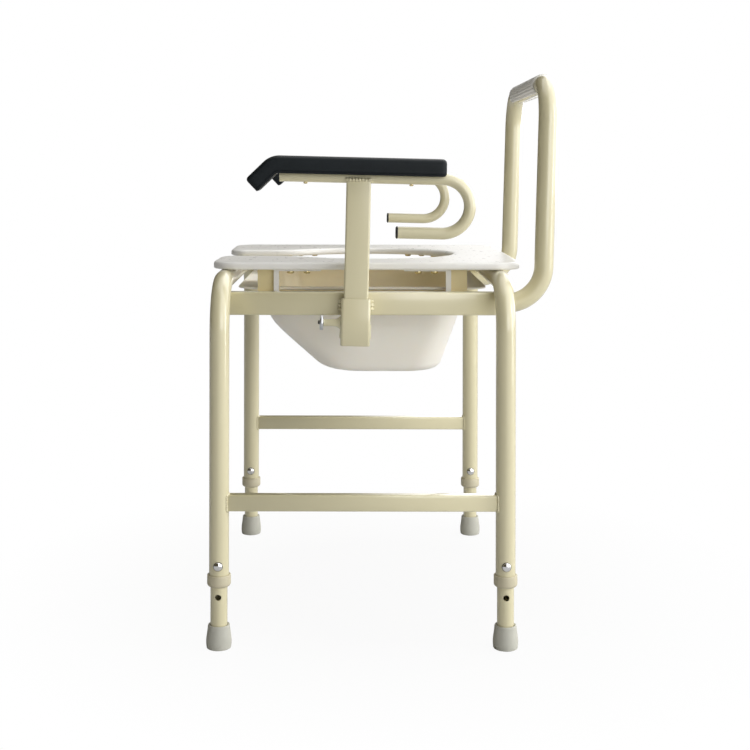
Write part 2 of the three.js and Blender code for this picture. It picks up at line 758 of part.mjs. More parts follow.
// ---------------------------------------------------------------- pan cradles
function cradleScrew(x, y) {
  const geometry = turned([
    [0, -4],
    [CRADLE_SCREW_R - 1.4, -4],
    [CRADLE_SCREW_R, -2.4],
    [CRADLE_SCREW_R, -GAP],
    [CRADLE_SHANK_R, -GAP],
    [CRADLE_SHANK_R, CRADLE_TAB_THICK + 7],
    [0, CRADLE_TAB_THICK + 7],
  ], 12);
  geometry.translate(x, y, SEAT_BOTTOM_Z - GAP - CRADLE_TAB_THICK);
  return geometry;
}

function cradleScrewCutter(x, y) {
  const tabZ = SEAT_BOTTOM_Z - GAP - CRADLE_TAB_THICK;
  return bar('z', CRADLE_SHANK_R + GAP, 2 * (CRADLE_TAB_THICK + 7.5), x, y, tabZ, 12);
}

const CRADLE_INNER_X = CRADLE_X - CRADLE_WIDE;
const CRADLE_SCREW_X = CRADLE_X - CRADLE_SCREW_INSET;

// Bracket under one side of the seat: screw tabs, posts and a floor the rim slides on.
function cradle(sign) {
  const top = SEAT_BOTTOM_Z - GAP;
  const floorTop = CRADLE_FLOOR_Z + CRADLE_FLOOR_THICK;
  const span = (a, b) => (sign > 0 ? [a, b] : [-b, -a]);
  const deep = span(CRADLE_INNER_X, CRADLE_X);
  const web = span(PAN_RIM_HALF + OVERLAP, CRADLE_X);
  const thin = span(CRADLE_X - CRADLE_PLATE[1], CRADLE_X - CRADLE_PLATE[0]);
  const [tabStart, tabEnd] = CRADLE_TAB_Y;
  const parts = [box(...deep, -CRADLE_PLATE_END_Y, CRADLE_PLATE_END_Y, CRADLE_FLOOR_Z, floorTop)];
  for (const end of [-1, 1]) {
    const along = (a, b) => (end > 0 ? [a, b] : [-b, -a]);
    parts.push(box(...deep, ...along(tabStart, tabEnd + OVERLAP), top - CRADLE_TAB_THICK, top));
    parts.push(box(...web, ...along(tabEnd, tabEnd + CRADLE_POST), floorTop - OVERLAP, top));
    const plate = along(tabEnd + CRADLE_POST - OVERLAP, CRADLE_PLATE_END_Y);
    parts.push(box(...thin, ...plate, floorTop - OVERLAP, top));
  }
  const screws = [];
  for (const end of [-1, 1]) {
    for (const y of CRADLE_SCREW_Y) screws.push(cradleScrewCutter(sign * CRADLE_SCREW_X, end * y));
  }
  return cut(join(...parts), ...screws);
}

for (const [side, sign] of SIDES) {
  add(`${side}_pan_cradle`, cradle(sign), whitePlastic);
  for (const [end, endSign] of ENDS) {
    CRADLE_SCREW_Y.forEach((y, index) => {
      const screw = cradleScrew(sign * CRADLE_SCREW_X, endSign * y);
      add(`${side}_cradle_screw_${end}_${index + 1}`, screw, brass);
    });
  }
}

// ---------------------------------------------------------------- seat
// Plan of the seat: a rounded square with a keyhole opening to the front.
function seatOutline() {
  const corner = SEAT_CORNER_R;
  const prong = SEAT_PRONG_R;
  const throatY = SEAT_THROAT_Y;
  const front = SEAT_FRONT_Y;
  const holeMidY = SEAT_HOLE_REAR_Y - SEAT_HOLE;
  const shape = new THREE.Shape();
  shape.moveTo(SEAT_MOUTH + prong, front);
  shape.lineTo(SEAT_HALF - corner, front);
  shape.absarc(SEAT_HALF - corner, front + corner, corner, -Math.PI / 2, 0);
  shape.lineTo(SEAT_HALF, SEAT_REAR_Y - corner);
  shape.absarc(SEAT_HALF - corner, SEAT_REAR_Y - corner, corner, 0, Math.PI / 2);
  shape.lineTo(-SEAT_HALF + corner, SEAT_REAR_Y);
  shape.absarc(-SEAT_HALF + corner, SEAT_REAR_Y - corner, corner, Math.PI / 2, Math.PI);
  shape.lineTo(-SEAT_HALF, front + corner);
  shape.absarc(-SEAT_HALF + corner, front + corner, corner, Math.PI, 1.5 * Math.PI);
  shape.lineTo(-SEAT_MOUTH - prong, front);
  shape.absarc(-SEAT_MOUTH - prong, front + prong, prong, -Math.PI / 2, 0);
  shape.lineTo(-SEAT_MOUTH, throatY);
  const leaveY = throatY + SEAT_THROAT_PULL;
  const arriveY = holeMidY - SEAT_HOLE_PULL;
  shape.bezierCurveTo(-SEAT_MOUTH, leaveY, -SEAT_HOLE, arriveY, -SEAT_HOLE, holeMidY);
  shape.absarc(0, holeMidY, SEAT_HOLE, Math.PI, 0, true);
  shape.bezierCurveTo(SEAT_HOLE, arriveY, SEAT_MOUTH, leaveY, SEAT_MOUTH, throatY);
  shape.lineTo(SEAT_MOUTH, front + prong);
  shape.absarc(SEAT_MOUTH + prong, front + prong, prong, Math.PI, 1.5 * Math.PI);
  return shape;
}

function seatPlate() {
  const plate = alongZ(seatOutline(), SEAT_BOTTOM_Z, SEAT_BOTTOM_Z + SEAT_THICK, SEAT_BEVEL, 5);
  const screws = [];
  for (const x of [-CRADLE_SCREW_X, CRADLE_SCREW_X]) {
    for (const y of CRADLE_SCREW_Y) screws.push(cradleScrewCutter(x, y), cradleScrewCutter(x, -y));
  }
  return cut(plate, ...screws);
}

add('seat_plate', seatPlate(), whitePlastic);

// ---------------------------------------------------------------- pan
// Side view of the pan: long sloping front wall that steepens at a knee, steeper rear
// wall, rounded lower corners. The inset moves every wall inwards.
function panSide(inset) {
  const bottom = PAN_BOTTOM_Z + inset;
  const top = PAN_RIM_TOP_Z + PAN_SPARE;
  const [kneeY, kneeZ] = PAN_KNEE;
  const foot = PAN_FRONT_FOOT_Y + PAN_FOOT_INSET * inset;
  const knee = kneeY + PAN_KNEE_INSET * inset;
  const frontTop = PAN_FRONT_TOP_Y + inset;
  const rear = PAN_REAR_FOOT_Y - inset;
  const frontRise = PAN_CORNER * (kneeZ - bottom) / (foot - knee);
  const shape = new THREE.Shape();
  shape.moveTo(foot + PAN_CORNER, bottom);
  shape.lineTo(rear - PAN_CORNER, bottom);
  shape.quadraticCurveTo(rear, bottom, rear + PAN_CORNER * PAN_REAR_SLOPE, bottom + PAN_CORNER);
  shape.lineTo(rear + (top - bottom) * PAN_REAR_SLOPE, top);
  shape.lineTo(frontTop, top);
  shape.lineTo(frontTop, PAN_RIM_TOP_Z);
  shape.lineTo(knee, kneeZ);
  shape.lineTo(foot - PAN_CORNER, bottom + frontRise);
  shape.quadraticCurveTo(foot, bottom, foot + PAN_CORNER, bottom);
  return shape;
}

// End view of the pan: slightly tapered with rounded lower corners.
function panEnd(inset) {
  const bottom = PAN_BOTTOM_Z + inset;
  const top = PAN_RIM_TOP_Z + PAN_SPARE;
  const halfTop = CRADLE_INNER_X - PAN_SIDE_PLAY - inset;
  const halfLow = halfTop - PAN_TAPER;
  const corner = PAN_SIDE_CORNER;
  const shape = new THREE.Shape();
  shape.moveTo(-halfLow + corner, bottom);
  shape.lineTo(halfLow - corner, bottom);
  shape.quadraticCurveTo(halfLow, bottom, halfLow + 1, bottom + corner);
  shape.lineTo(halfTop, top);
  shape.lineTo(-halfTop, top);
  shape.lineTo(-halfLow - 1, bottom + corner);
  shape.quadraticCurveTo(-halfLow, bottom, -halfLow + corner, bottom);
  return shape;
}

function panWedge(inset) {
  const side = alongX(panSide(inset), 2 * PAN_RIM_HALF, 0, 0, 5);
  const end = alongY(panEnd(inset), -FAR, FAR, 5);
  return common(side, end);
}

function pan() {
  const midY = (PAN_RIM_FRONT_Y + PAN_RIM_REAR_Y) / 2;
  const halfY = (PAN_RIM_REAR_Y - PAN_RIM_FRONT_Y) / 2;
  const outline = roundedRect(PAN_RIM_HALF, halfY, PAN_RIM_CORNER_R);
  const rim = alongZ(outline, PAN_RIM_TOP_Z - PAN_RIM_TALL, PAN_RIM_TOP_Z, 0.8, 3);
  rim.translate(0, midY, 0);
  const top = PAN_RIM_TOP_Z;
  const above = box(-FAR, FAR, -FAR, FAR, top, top + 3 * PAN_SPARE);
  const ahead = box(-FAR, FAR, -FAR, PAN_RIM_FRONT_Y + PAN_WALL, 0, 2 * FAR);
  const front = box(-FAR, FAR, -FAR, PAN_RIM_FRONT_Y + 10, PAN_BOTTOM_Z, top + 3 * PAN_SPARE);
  const body = cut(panWedge(0), above, ahead);
  return cut(join(body, rim), cut(panWedge(PAN_WALL), front));
}

add('pan', pan(), panPlastic);

export default chair;
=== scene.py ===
"""Commode chair: fine surfaces, materials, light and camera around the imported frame."""

import json
import math

import bmesh
import bpy
from mathutils import Matrix, Vector

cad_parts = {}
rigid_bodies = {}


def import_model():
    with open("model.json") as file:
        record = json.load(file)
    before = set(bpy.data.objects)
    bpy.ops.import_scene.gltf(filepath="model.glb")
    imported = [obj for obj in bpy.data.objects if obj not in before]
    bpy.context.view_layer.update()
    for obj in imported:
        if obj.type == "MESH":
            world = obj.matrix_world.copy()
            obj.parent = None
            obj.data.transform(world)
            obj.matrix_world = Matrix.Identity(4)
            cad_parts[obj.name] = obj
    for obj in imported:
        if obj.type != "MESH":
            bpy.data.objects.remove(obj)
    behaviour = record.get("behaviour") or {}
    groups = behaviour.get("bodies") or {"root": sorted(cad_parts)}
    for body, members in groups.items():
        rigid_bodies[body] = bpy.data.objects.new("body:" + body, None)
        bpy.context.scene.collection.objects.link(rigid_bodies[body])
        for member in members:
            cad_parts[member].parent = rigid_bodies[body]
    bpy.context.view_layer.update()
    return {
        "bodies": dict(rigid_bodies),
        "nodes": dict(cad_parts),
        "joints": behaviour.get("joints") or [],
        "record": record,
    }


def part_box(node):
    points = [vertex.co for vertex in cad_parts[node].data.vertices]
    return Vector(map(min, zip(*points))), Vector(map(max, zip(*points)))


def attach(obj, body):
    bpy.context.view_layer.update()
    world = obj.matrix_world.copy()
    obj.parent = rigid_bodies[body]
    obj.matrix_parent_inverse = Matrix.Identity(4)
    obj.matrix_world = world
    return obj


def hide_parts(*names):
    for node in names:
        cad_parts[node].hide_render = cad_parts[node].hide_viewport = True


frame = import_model()
MM = 0.001

# ------------------------ places, from the frame


def middle(node):
    low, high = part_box(node)
    return (low + high) / 2


TUBE_R = (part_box("front_hoop")[1].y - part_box("front_hoop")[0].y) / 2
LEG_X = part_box("front_hoop")[1].x - TUBE_R
FRONT_Y = middle("front_hoop").y
REAR_Y = middle("rear_hoop").y
LEG_MID_Y = (FRONT_Y + REAR_Y) / 2
HOOP_TOP_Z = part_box("front_hoop")[1].z - TUBE_R
HOOP_BOTTOM_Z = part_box("front_hoop")[0].z
RAIL_LOW, RAIL_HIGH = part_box("left_upper_side_rail")
LOW_RAIL_LOW, LOW_RAIL_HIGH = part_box("left_lower_side_rail")
PIN_Z = middle("front_left_height_pin").z
# where the cradles' painted shade starts: faces nearer the middle of the chair are shaded
CRADLE_OUTER_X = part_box("left_pan_cradle")[1].x - 5 * MM

ARM_LIFT = next(j for j in frame["joints"] if j["name"] == "left_arm_lift")
ARM_LEAN = math.atan2(ARM_LIFT["axis"][1], ARM_LIFT["axis"][2])

SIDES = (("left", 1), ("right", -1))
ENDS = (("front", FRONT_Y, -1), ("rear", REAR_Y, 1))

BODY_OF = {}
for body_name, members in frame["record"]["behaviour"]["bodies"].items():
    for member in members:
        BODY_OF[member] = body_name

# ------------------------ sizes

TUBE_WALL = 1.5 * MM
HOOP_BEND_R = 60 * MM
BACK_BEND_R = 50 * MM
BACK_LEAN = 8.2 * MM
RAIL_CORNER = 2.6 * MM
RAIL_SOFT = 0.8 * MM            # soft edge of a rail's closed end
RAIL_REACH = 4 * MM             # how far an upper rail runs into the hoops
WELD_R = 1.5 * MM

HOLE_R = 3.9 * MM               # height holes, in steps counted from the locking pin
HOLE_PITCH = 20 * MM
HOLE_STEPS = range(-2, 4)

# The arm's own frame: origin in the middle of the socket, upright along Z.
ARM_TUBE_R = 7.8 * MM
ARM_TUBE_WALL = 1.2 * MM
ARM_TUBE_Z = 187.7 * MM
ARM_HOOK_R = 35.3 * MM
ARM_HOOK_Y = 109.6 * MM
ARM_FRONT_Y = -102.9 * MM
ARM_LOWER_END_Y = 52.1 * MM
PAD_SCREW_Y = {"front": -69.2 * MM, "rear": 68.3 * MM}
SOCKET_HALF = Vector((11, 19.2, 30.5)) * MM
SOCKET_CORNER = 4 * MM
SOCKET_LIP = 0.8 * MM
SOCKET_PLAY = Vector((0.4, 0.5)) * MM
UPRIGHT_HALF = Vector((9, 16, 0)) * MM
UPRIGHT_RAISE = 2 * MM          # foot of the upright above the socket's lower edge
LATCH_Z = -1.8 * MM

# The arm pad, in millimetres in the arm's frame.
PAD_HALF = (24.0, 11.5)
PAD_MIDDLE_Z = 202.2
PAD_REAR_Y = 112.8
PAD_BEND_Y = -110.6
PAD_BEND_R = 17
PAD_DROOP = 39.5                # length of the turned-down front, along its slope
PAD_SOFT = 4.5                  # rounding of both ends

# The seat's plan.
SEAT_CORNER = 34 * MM
SEAT_PRONG = 26 * MM
SEAT_MOUTH = 62 * MM
SEAT_HOLE = 116 * MM
SEAT_HOLE_MID = LEG_MID_Y + 16 * MM
SEAT_THROAT = LEG_MID_Y - 128 * MM

# The pan. Its front wall is given as (height, y) at the foot, the knee and the rim.
PAN_BOTTOM = 334 * MM
PAN_TALL = 117.8
PAN_WALL = 2.6 * MM
PAN_FRONT = ((0, -51.0), (66.6, -128.0), (PAN_TALL, -146.0))
PAN_KNEE_EASE = 5.0
PAN_REAR_FOOT = 106 * MM
PAN_REAR_SLOPE = math.tan(math.radians(20))
PAN_HALF_TOP = 159 * MM
PAN_TAPER = 12 * MM
PAN_EDGE = 11 * MM              # rounding of the bottom edge

FLOOR_REACH = 14
FLOOR_WHITE = 0.92              # how far the floor is already white under the chair
FLOOR_FADE = (0.2, 0.6)         # distances from the middle between which it turns white
ROOM_LIGHT = 1.4
ROOM_SHINE = 2.6
ROOM_RAMP = ((0.49, (0.03, 0.025, 0.015, 1)), (0.60, (1, 1, 1, 1)))

LENS = 63.74
SENSOR = 36.0
CAMERA = Vector((LEG_X + 1.700, LEG_MID_Y - 0.0096, 0.6175))
CAMERA_ROLL = math.radians(0.1)
CAMERA_SHIFT = {"shift_x": 0.026, "shift_y": -0.28}


def arm_place(side):
    """From an arm's own upright frame, about the middle of its socket, to the chair's frame."""
    pivot = middle(f"{side}_arm_socket")
    return Matrix.Translation(pivot) @ Matrix.Rotation(-ARM_LEAN, 4, "X")


# ------------------------ materials


def node_material(name, colour, roughness, metallic=0.0):
    """A Principled material with its node tree ready for a pattern."""
    material = bpy.data.materials.new(name)
    material.use_nodes = True
    shader = material.node_tree.nodes["Principled BSDF"]
    shader.inputs["Base Color"].default_value = (*colour, 1)
    shader.inputs["Roughness"].default_value = roughness
    shader.inputs["Metallic"].default_value = metallic
    return material, shader


def noise(material, scale, detail=3.0, stretch=(1, 1, 1)):
    """Noise over object coordinates: scale is in features per metre."""
    nodes, links = material.node_tree.nodes, material.node_tree.links
    place = nodes.new("ShaderNodeTexCoord")
    mapping = nodes.new("ShaderNodeMapping")
    mapping.inputs["Scale"].default_value = stretch
    texture = nodes.new("ShaderNodeTexNoise")
    texture.inputs["Scale"].default_value = scale
    texture.inputs["Detail"].default_value = detail
    links.new(place.outputs["Object"], mapping.inputs["Vector"])
    links.new(mapping.outputs["Vector"], texture.inputs["Vector"])
    return texture.outputs["Fac"]


def vary_colour(material, shader, value, low, high):
    """Mixes two colours by a pattern."""
    mix = material.node_tree.nodes.new("ShaderNodeMix")
    mix.data_type = "RGBA"
    mix.inputs["A"].default_value = (*low, 1)
    mix.inputs["B"].default_value = (*high, 1)
    material.node_tree.links.new(value, mix.inputs["Factor"])
    material.node_tree.links.new(mix.outputs["Result"], shader.inputs["Base Color"])


def map_range(tree, value, source, target):
    """Carries a value from one range over to another."""
    node = tree.nodes.new("ShaderNodeMapRange")
    for name, number in zip(("From Min", "From Max", "To Min", "To Max"), (*source, *target)):
        node.inputs[name].default_value = number
    tree.links.new(value, node.inputs["Value"])
    return node.outputs["Result"]


def vary_roughness(material, shader, value, low, high):
    """Runs the roughness from low to high over the middle of a pattern."""
    tree = material.node_tree
    tree.links.new(map_range(tree, value, (0.3, 0.7), (low, high)), shader.inputs["Roughness"])


def bump(material, shader, value, height, strength=1.0):
    """Relief of the given height in metres."""
    node = material.node_tree.nodes.new("ShaderNodeBump")
    node.inputs["Strength"].default_value = strength
    node.inputs["Distance"].default_value = height
    material.node_tree.links.new(value, node.inputs["Height"])
    material.node_tree.links.new(node.outputs["Normal"], shader.inputs["Normal"])


def tinted(colour, factor):
    return tuple(min(1.0, channel * factor) for channel in colour)


def paint_where_not(material, mask, colour):
    """Keeps the material's own colour where mask is 1 and shows another where it is 0."""
    nodes, links = material.node_tree.nodes, material.node_tree.links
    base = nodes["Principled BSDF"].inputs["Base Color"]
    own = base.links[0].from_socket
    mix = nodes.new("ShaderNodeMix")
    mix.data_type = "RGBA"
    mix.inputs["A"].default_value = (*colour, 1)
    links.new(mask, mix.inputs["Factor"])
    links.new(own, mix.inputs["B"])
    links.new(mix.outputs["Result"], base)


def math_node(material, operation, value, threshold=0.0):
    """The result of a one-step calculation on a socket."""
    node = material.node_tree.nodes.new("ShaderNodeMath")
    node.operation = operation
    node.inputs[1].default_value = threshold
    material.node_tree.links.new(value, node.inputs[0])
    return node.outputs["Value"]


def powder_coat():
    """Glossy cream powder coat with a faint orange peel."""
    colour = (0.70, 0.645, 0.425)
    material, shader = node_material("cream_powder_coat", colour, 0.3)
    vary_colour(material, shader, noise(material, 9), tinted(colour, 0.98), tinted(colour, 1.02))
    vary_roughness(material, shader, noise(material, 30), 0.28, 0.30)
    bump(material, shader, noise(material, 420, 1.0), 0.00003, 0.25)
    shader.inputs["Coat Weight"].default_value = 0.8
    shader.inputs["Coat Roughness"].default_value = 0.1
    return material


def moulded_plastic(name, colour, roughness, grain, see_through=0.0):
    """Moulded plastic: soft tone changes, fine surface grain and some light inside."""
    material, shader = node_material(name, colour, roughness)
    vary_colour(material, shader, noise(material, 14), tinted(colour, 0.975), tinted(colour, 1.02))
    vary_roughness(material, shader, noise(material, 90), roughness - 0.06, roughness + 0.06)
    bump(material, shader, noise(material, 380, 1.0), 0.00004, grain)
    shader.inputs["Subsurface Weight"].default_value = see_through
    shader.inputs["Subsurface Radius"].default_value = (0.012, 0.010, 0.008)
    return material


def pan_plastic():
    """Off-white plastic with painted shade inside: a face that looks at the pan's middle is inside and
    is painted a dull tan, for the shade under the seat.
    """
    material = moulded_plastic("pan_plastic", (0.92, 0.885, 0.81), 0.38, 0.08, 0.3)
    nodes, links = material.node_tree.nodes, material.node_tree.links
    place = nodes.new("ShaderNodeTexCoord")
    low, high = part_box("pan")
    spoke = nodes.new("ShaderNodeVectorMath")
    spoke.operation = "SUBTRACT"
    spoke.inputs[1].default_value = (0, (low.y + high.y) / 2, high.z)
    facing = nodes.new("ShaderNodeVectorMath")
    facing.operation = "DOT_PRODUCT"
    links.new(place.outputs["Object"], spoke.inputs[0])
    links.new(spoke.outputs["Vector"], facing.inputs[0])
    links.new(place.outputs["Normal"], facing.inputs[1])
    outside = math_node(material, "GREATER_THAN", facing.outputs["Value"])
    # painted shade: inside faces get a dull tan instead of the off-white
    paint_where_not(material, outside, (0.84, 0.76, 0.57))
    return material


def cradle_plastic():
    """White plastic with painted shade: faces nearer the middle of the chair than the outer faces, the
    recessed plates among them, are painted a dull cream shade.
    """
    material = moulded_plastic("cradle_plastic", (0.87, 0.86, 0.84), 0.35, 0.2)
    nodes, links = material.node_tree.nodes, material.node_tree.links
    place = nodes.new("ShaderNodeNewGeometry")
    split = nodes.new("ShaderNodeSeparateXYZ")
    links.new(place.outputs["Position"], split.inputs["Vector"])
    across = math_node(material, "ABSOLUTE", split.outputs["X"])
    outer = math_node(material, "GREATER_THAN", across, CRADLE_OUTER_X)
    # painted shade on every face inside the outer faces
    paint_where_not(material, outer, (0.80, 0.69, 0.40))
    return material


def tip_rubber():
    """Pale grey rubber with dust in its grain."""
    colour = (0.52, 0.515, 0.45)
    material, shader = node_material("grey_rubber", colour, 0.7)
    vary_colour(material, shader, noise(material, 70, 5.0), tinted(colour, 0.88), tinted(colour, 1.08))
    vary_roughness(material, shader, noise(material, 200), 0.6, 0.85)
    bump(material, shader, noise(material, 700, 4.0), 0.00012, 0.6)
    return material


def pad_skin():
    """Black self-skinned foam: fine leather-like grain, satin sheen."""
    colour = (0.006, 0.009, 0.011)
    material, shader = node_material("black_pad_skin", colour, 0.45)
    vary_colour(material, shader, noise(material, 40), tinted(colour, 0.8), tinted(colour, 1.3))
    vary_roughness(material, shader, noise(material, 150), 0.40, 0.55)
    bump(material, shader, noise(material, 1300, 4.0), 0.00012, 0.5)
    shader.inputs["Specular IOR Level"].default_value = 0.2
    return material


def metal(name, colour, roughness, brushed=(1, 1, 1)):
    """Bare or plated metal with fine scratches, drawn out along brushed."""
    material, shader = node_material(name, colour, roughness, 1.0)
    scratches = noise(material, 300, 3.0, brushed)
    vary_roughness(material, shader, scratches, roughness * 0.7, roughness * 1.5)
    vary_colour(material, shader, noise(material, 120), tinted(colour, 0.92), tinted(colour, 1.05))
    bump(material, shader, noise(material, 1500, 2.0, brushed), 0.00001, 0.3)
    return material


CREAM = powder_coat()
COLLAR = moulded_plastic("cream_grey_plastic", (0.58, 0.53, 0.38), 0.45, 0.1, 0.05)
WHITE = moulded_plastic("white_plastic", (0.88, 0.87, 0.84), 0.32, 0.05)
CRADLE = cradle_plastic()
PAN = pan_plastic()
# black plastic parts, also used for the painted shadow ring round each height pin
BLACK_AND_SHADOW = moulded_plastic("black_plastic", (0.012, 0.013, 0.014), 0.42, 0.4)
RUBBER = tip_rubber()
PAD = pad_skin()
CHROME = metal("chrome", (0.83, 0.83, 0.84), 0.09)
BRASS = metal("passivated_brass", (0.74, 0.62, 0.33), 0.25)
SILVER = metal("zinc_plate", (0.60, 0.62, 0.65), 0.28, (1, 12, 1))

# ------------------------ mesh helpers


def piece(name, verts, faces, material, place=None, sharp=38):
    """A smooth-shaded mesh object with outward normals; edges steeper than sharp stay crisp."""
    build = bmesh.new()
    points = [build.verts.new(v) for v in verts]
    for face in faces:
        build.faces.new([points[i] for i in face])
    bmesh.ops.recalc_face_normals(build, faces=build.faces)
    mesh = bpy.data.meshes.new(name)
    build.to_mesh(mesh)
    build.free()
    if place is not None:
        mesh.transform(place)
    obj = bpy.data.objects.new(name, mesh)
    bpy.context.scene.collection.objects.link(obj)
    obj.data.materials.append(material)
    smooth(obj, sharp)
    return obj


def smooth(obj, sharp=38):
    """Smooth shading, with edges steeper than sharp degrees kept crisp."""
    obj.data.shade_smooth()
    obj.data.set_sharp_from_angle(angle=math.radians(sharp))


def stand_for(obj, *nodes):
    """Shows obj in the place of CAD nodes and lets it ride on their body."""
    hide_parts(*nodes)
    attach(obj, BODY_OF[nodes[0]])
    return obj


def extra(obj, body):
    """A piece of finish, such as a weld bead, that stands for no CAD node."""
    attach(obj, body)
    return obj


def loft(rings, wrap=False, caps=True):
    """Quads between rings of equal length; wrap joins the last ring to the first."""
    count = len(rings[0])
    verts = [point for ring in rings for point in ring]
    faces = []
    pairs = [(i, i + 1) for i in range(len(rings) - 1)]
    if wrap:
        pairs.append((len(rings) - 1, 0))
    for a, b in pairs:
        for i in range(count):
            j = (i + 1) % count
            faces.append((a * count + i, a * count + j, b * count + j, b * count + i))
    if caps and not wrap:
        faces.append(tuple(range(count)))
        faces.append(tuple((len(rings) - 1) * count + i for i in range(count)))
    return verts, faces


def bent_path(corners, radius, steps=14):
    """Points along straight runs joined by arcs."""
    points = [Vector(corners[0])]
    for before, corner, after in zip(corners, corners[1:], corners[2:]):
        corner = Vector(corner)
        back = (Vector(before) - corner).normalized()
        ahead = (Vector(after) - corner).normalized()
        half = back.angle(ahead) / 2
        centre = corner + (back + ahead).normalized() * radius / math.sin(half)
        spoke = corner + back * radius / math.tan(half) - centre
        turn = ahead.cross(back).normalized()
        for i in range(steps + 1):
            angle = (math.pi - 2 * half) * i / steps
            points.append(centre + Matrix.Rotation(angle, 3, turn) @ spoke)
    points.append(Vector(corners[-1]))
    return points


def path_frames(points, closed=False):
    """(point, side, up) along a path, carried without twist."""
    count = len(points)
    tangents = []
    for i, point in enumerate(points):
        before = points[i - 1] if i or closed else point
        after = points[(i + 1) % count] if i < count - 1 or closed else point
        tangents.append((after - before).normalized())
    side = tangents[0].orthogonal().normalized()
    frames = []
    for point, tangent in zip(points, tangents):
        side = (side - tangent * side.dot(tangent)).normalized()
        frames.append((point, side, tangent.cross(side)))
    return frames


def circle_ring(centre, side, up, radius, sides):
    """Points of a circle about centre, in the plane of side and up."""
    turn = 2 * math.pi / sides
    return [
        centre + (side * math.cos(i * turn) + up * math.sin(i * turn)) * radius
        for i in range(sides)
    ]


def tube(name, points, radius, wall, material, sides=40, place=None):
    """A hollow round tube along a path, open at both ends."""
    frames = path_frames(points)
    outer = [circle_ring(*f, radius, sides) for f in frames]
    inner = [circle_ring(*f, radius - wall, sides) for f in reversed(frames)]
    return piece(name, *loft(outer + inner, wrap=True), material, place)


def lathe(name, profile, material, place, sides=48):
    """Turns [radius, height] points, in millimetres, about +Z. A profile that starts on the
    axis is capped there; any other profile closes on itself."""
    on_axis = profile[0][0] == 0
    if on_axis:
        profile = profile[1:-1] if profile[-1][0] == 0 else profile[1:]
    turn = 2 * math.pi / sides
    rings = [
        [Vector((r * math.cos(i * turn), r * math.sin(i * turn), h)) * MM for i in range(sides)]
        for r, h in profile
    ]
    return piece(name, *loft(rings, wrap=not on_axis, caps=on_axis), material, place, 32)


def rounded_rect(half_a, half_b, radius, steps=6):
    """(a, b) points round a rectangle with round corners."""
    points = []
    corners = ((1, 1, 0), (-1, 1, 90), (-1, -1, 180), (1, -1, 270))
    for sign_a, sign_b, start in corners:
        for i in range(steps + 1):
            angle = math.radians(start + 90 * i / steps)
            a = sign_a * (half_a - radius) + radius * math.cos(angle)
            b = sign_b * (half_b - radius) + radius * math.sin(angle)
            points.append((a, b))
    return points


def level_ring(outline, z, centre_y=0.0):
    """An (x, y) outline laid flat at a height."""
    return [Vector((a, centre_y + b, z)) for a, b in outline]


def bead(name, points, radius, body, closed=False, ripple=0.22, pitch=2.2 * MM, place=None):
    """A weld bead: a round seam whose thickness ripples along its length."""
    frames = path_frames(points, closed)
    travelled = 0.0
    rings = []
    for i, (point, side, up) in enumerate(frames):
        if i:
            travelled += (point - frames[i - 1][0]).length
        wave = math.sin(2 * math.pi * travelled / pitch) + 0.5 * math.sin(travelled / pitch)
        rings.append(circle_ring(point, side, up, radius * (1 + ripple * wave), 10))
    return extra(piece(name, *loft(rings, wrap=closed), CREAM, place, 80), body)


def resample(points, spacing, closed=False):
    """Points at even steps along a polyline."""
    run = list(points) + ([points[0]] if closed else [])
    result = []
    for a, b in zip(run, run[1:]):
        steps = max(1, round((b - a).length / spacing))
        result.extend(a.lerp(b, i / steps) for i in range(steps))
    if not closed:
        result.append(run[-1])
    return result


def punch(obj, cutter):
    """Cuts cutter out of obj, keeps the result as obj's mesh and removes cutter."""
    modifier = obj.modifiers.new("punch", "BOOLEAN")
    modifier.operation = "DIFFERENCE"
    modifier.solver = "EXACT"
    modifier.object = cutter
    graph = bpy.context.evaluated_depsgraph_get()
    cut = bpy.data.meshes.new_from_object(obj.evaluated_get(graph))
    obj.modifiers.clear()
    obj.data = cut
    bpy.data.objects.remove(cutter)
    smooth(obj)


def rod_between(start, end, radius, sides=24):
    """A plain bar, used only as a cutter."""
    frames = path_frames([Vector(start), Vector(end)])
    return piece("cutter", *loft([circle_ring(*f, radius, sides) for f in frames]), CREAM)


# ------------------------ hoops and legs


def hoop(end, y):
    """Inverted U tube with a pin hole in the +X side of each leg."""
    points = bent_path(
        [
            (-LEG_X, y, HOOP_BOTTOM_Z),
            (-LEG_X, y, HOOP_TOP_Z),
            (LEG_X, y, HOOP_TOP_Z),
            (LEG_X, y, HOOP_BOTTOM_Z),
        ],
        HOOP_BEND_R,
    )
    obj = tube(f"{end}_hoop_tube", points, TUBE_R, TUBE_WALL, CREAM)
    for x in (-LEG_X, LEG_X):
        punch(obj, rod_between((x, y, PIN_Z), (x + 2 * TUBE_R, y, PIN_Z), HOLE_R))
    stand_for(obj, f"{end}_hoop")


def leg_extension(leg, x, y):
    """Tube that slides in a hoop's leg, with its row of height holes."""
    low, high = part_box(f"{leg}_leg_extension")
    radius = (high.y - low.y) / 2
    ends = [Vector((x, y, low.z)), Vector((x, y, high.z))]
    obj = tube(f"{leg}_extension_tube", ends, radius, TUBE_WALL, CREAM)
    for step in HOLE_STEPS:
        z = PIN_Z + step * HOLE_PITCH
        punch(obj, rod_between((x, y, z), (x + 2 * radius, y, z), HOLE_R))
    stand_for(obj, f"{leg}_leg_extension")


def leg_collar(leg, x, y):
    """Stepped plastic ferrule: narrow bore below, the hoop's tube seated above."""
    profile = [
        (11.3, 79.0), (12.6, 79.0), (13.6, 79.7), (14.7, 81.0), (15.1, 81.9), (15.15, 82.6),
        (15.15, 92.8), (14.95, 93.5), (14.4, 93.95), (13.2, 94.0), (13.0, 93.7), (13.0, 82.4),
        (11.3, 82.3),
    ]
    obj = lathe(f"{leg}_collar_ring", profile, COLLAR, Matrix.Translation((x, y, 0)), 56)
    stand_for(obj, f"{leg}_collar")


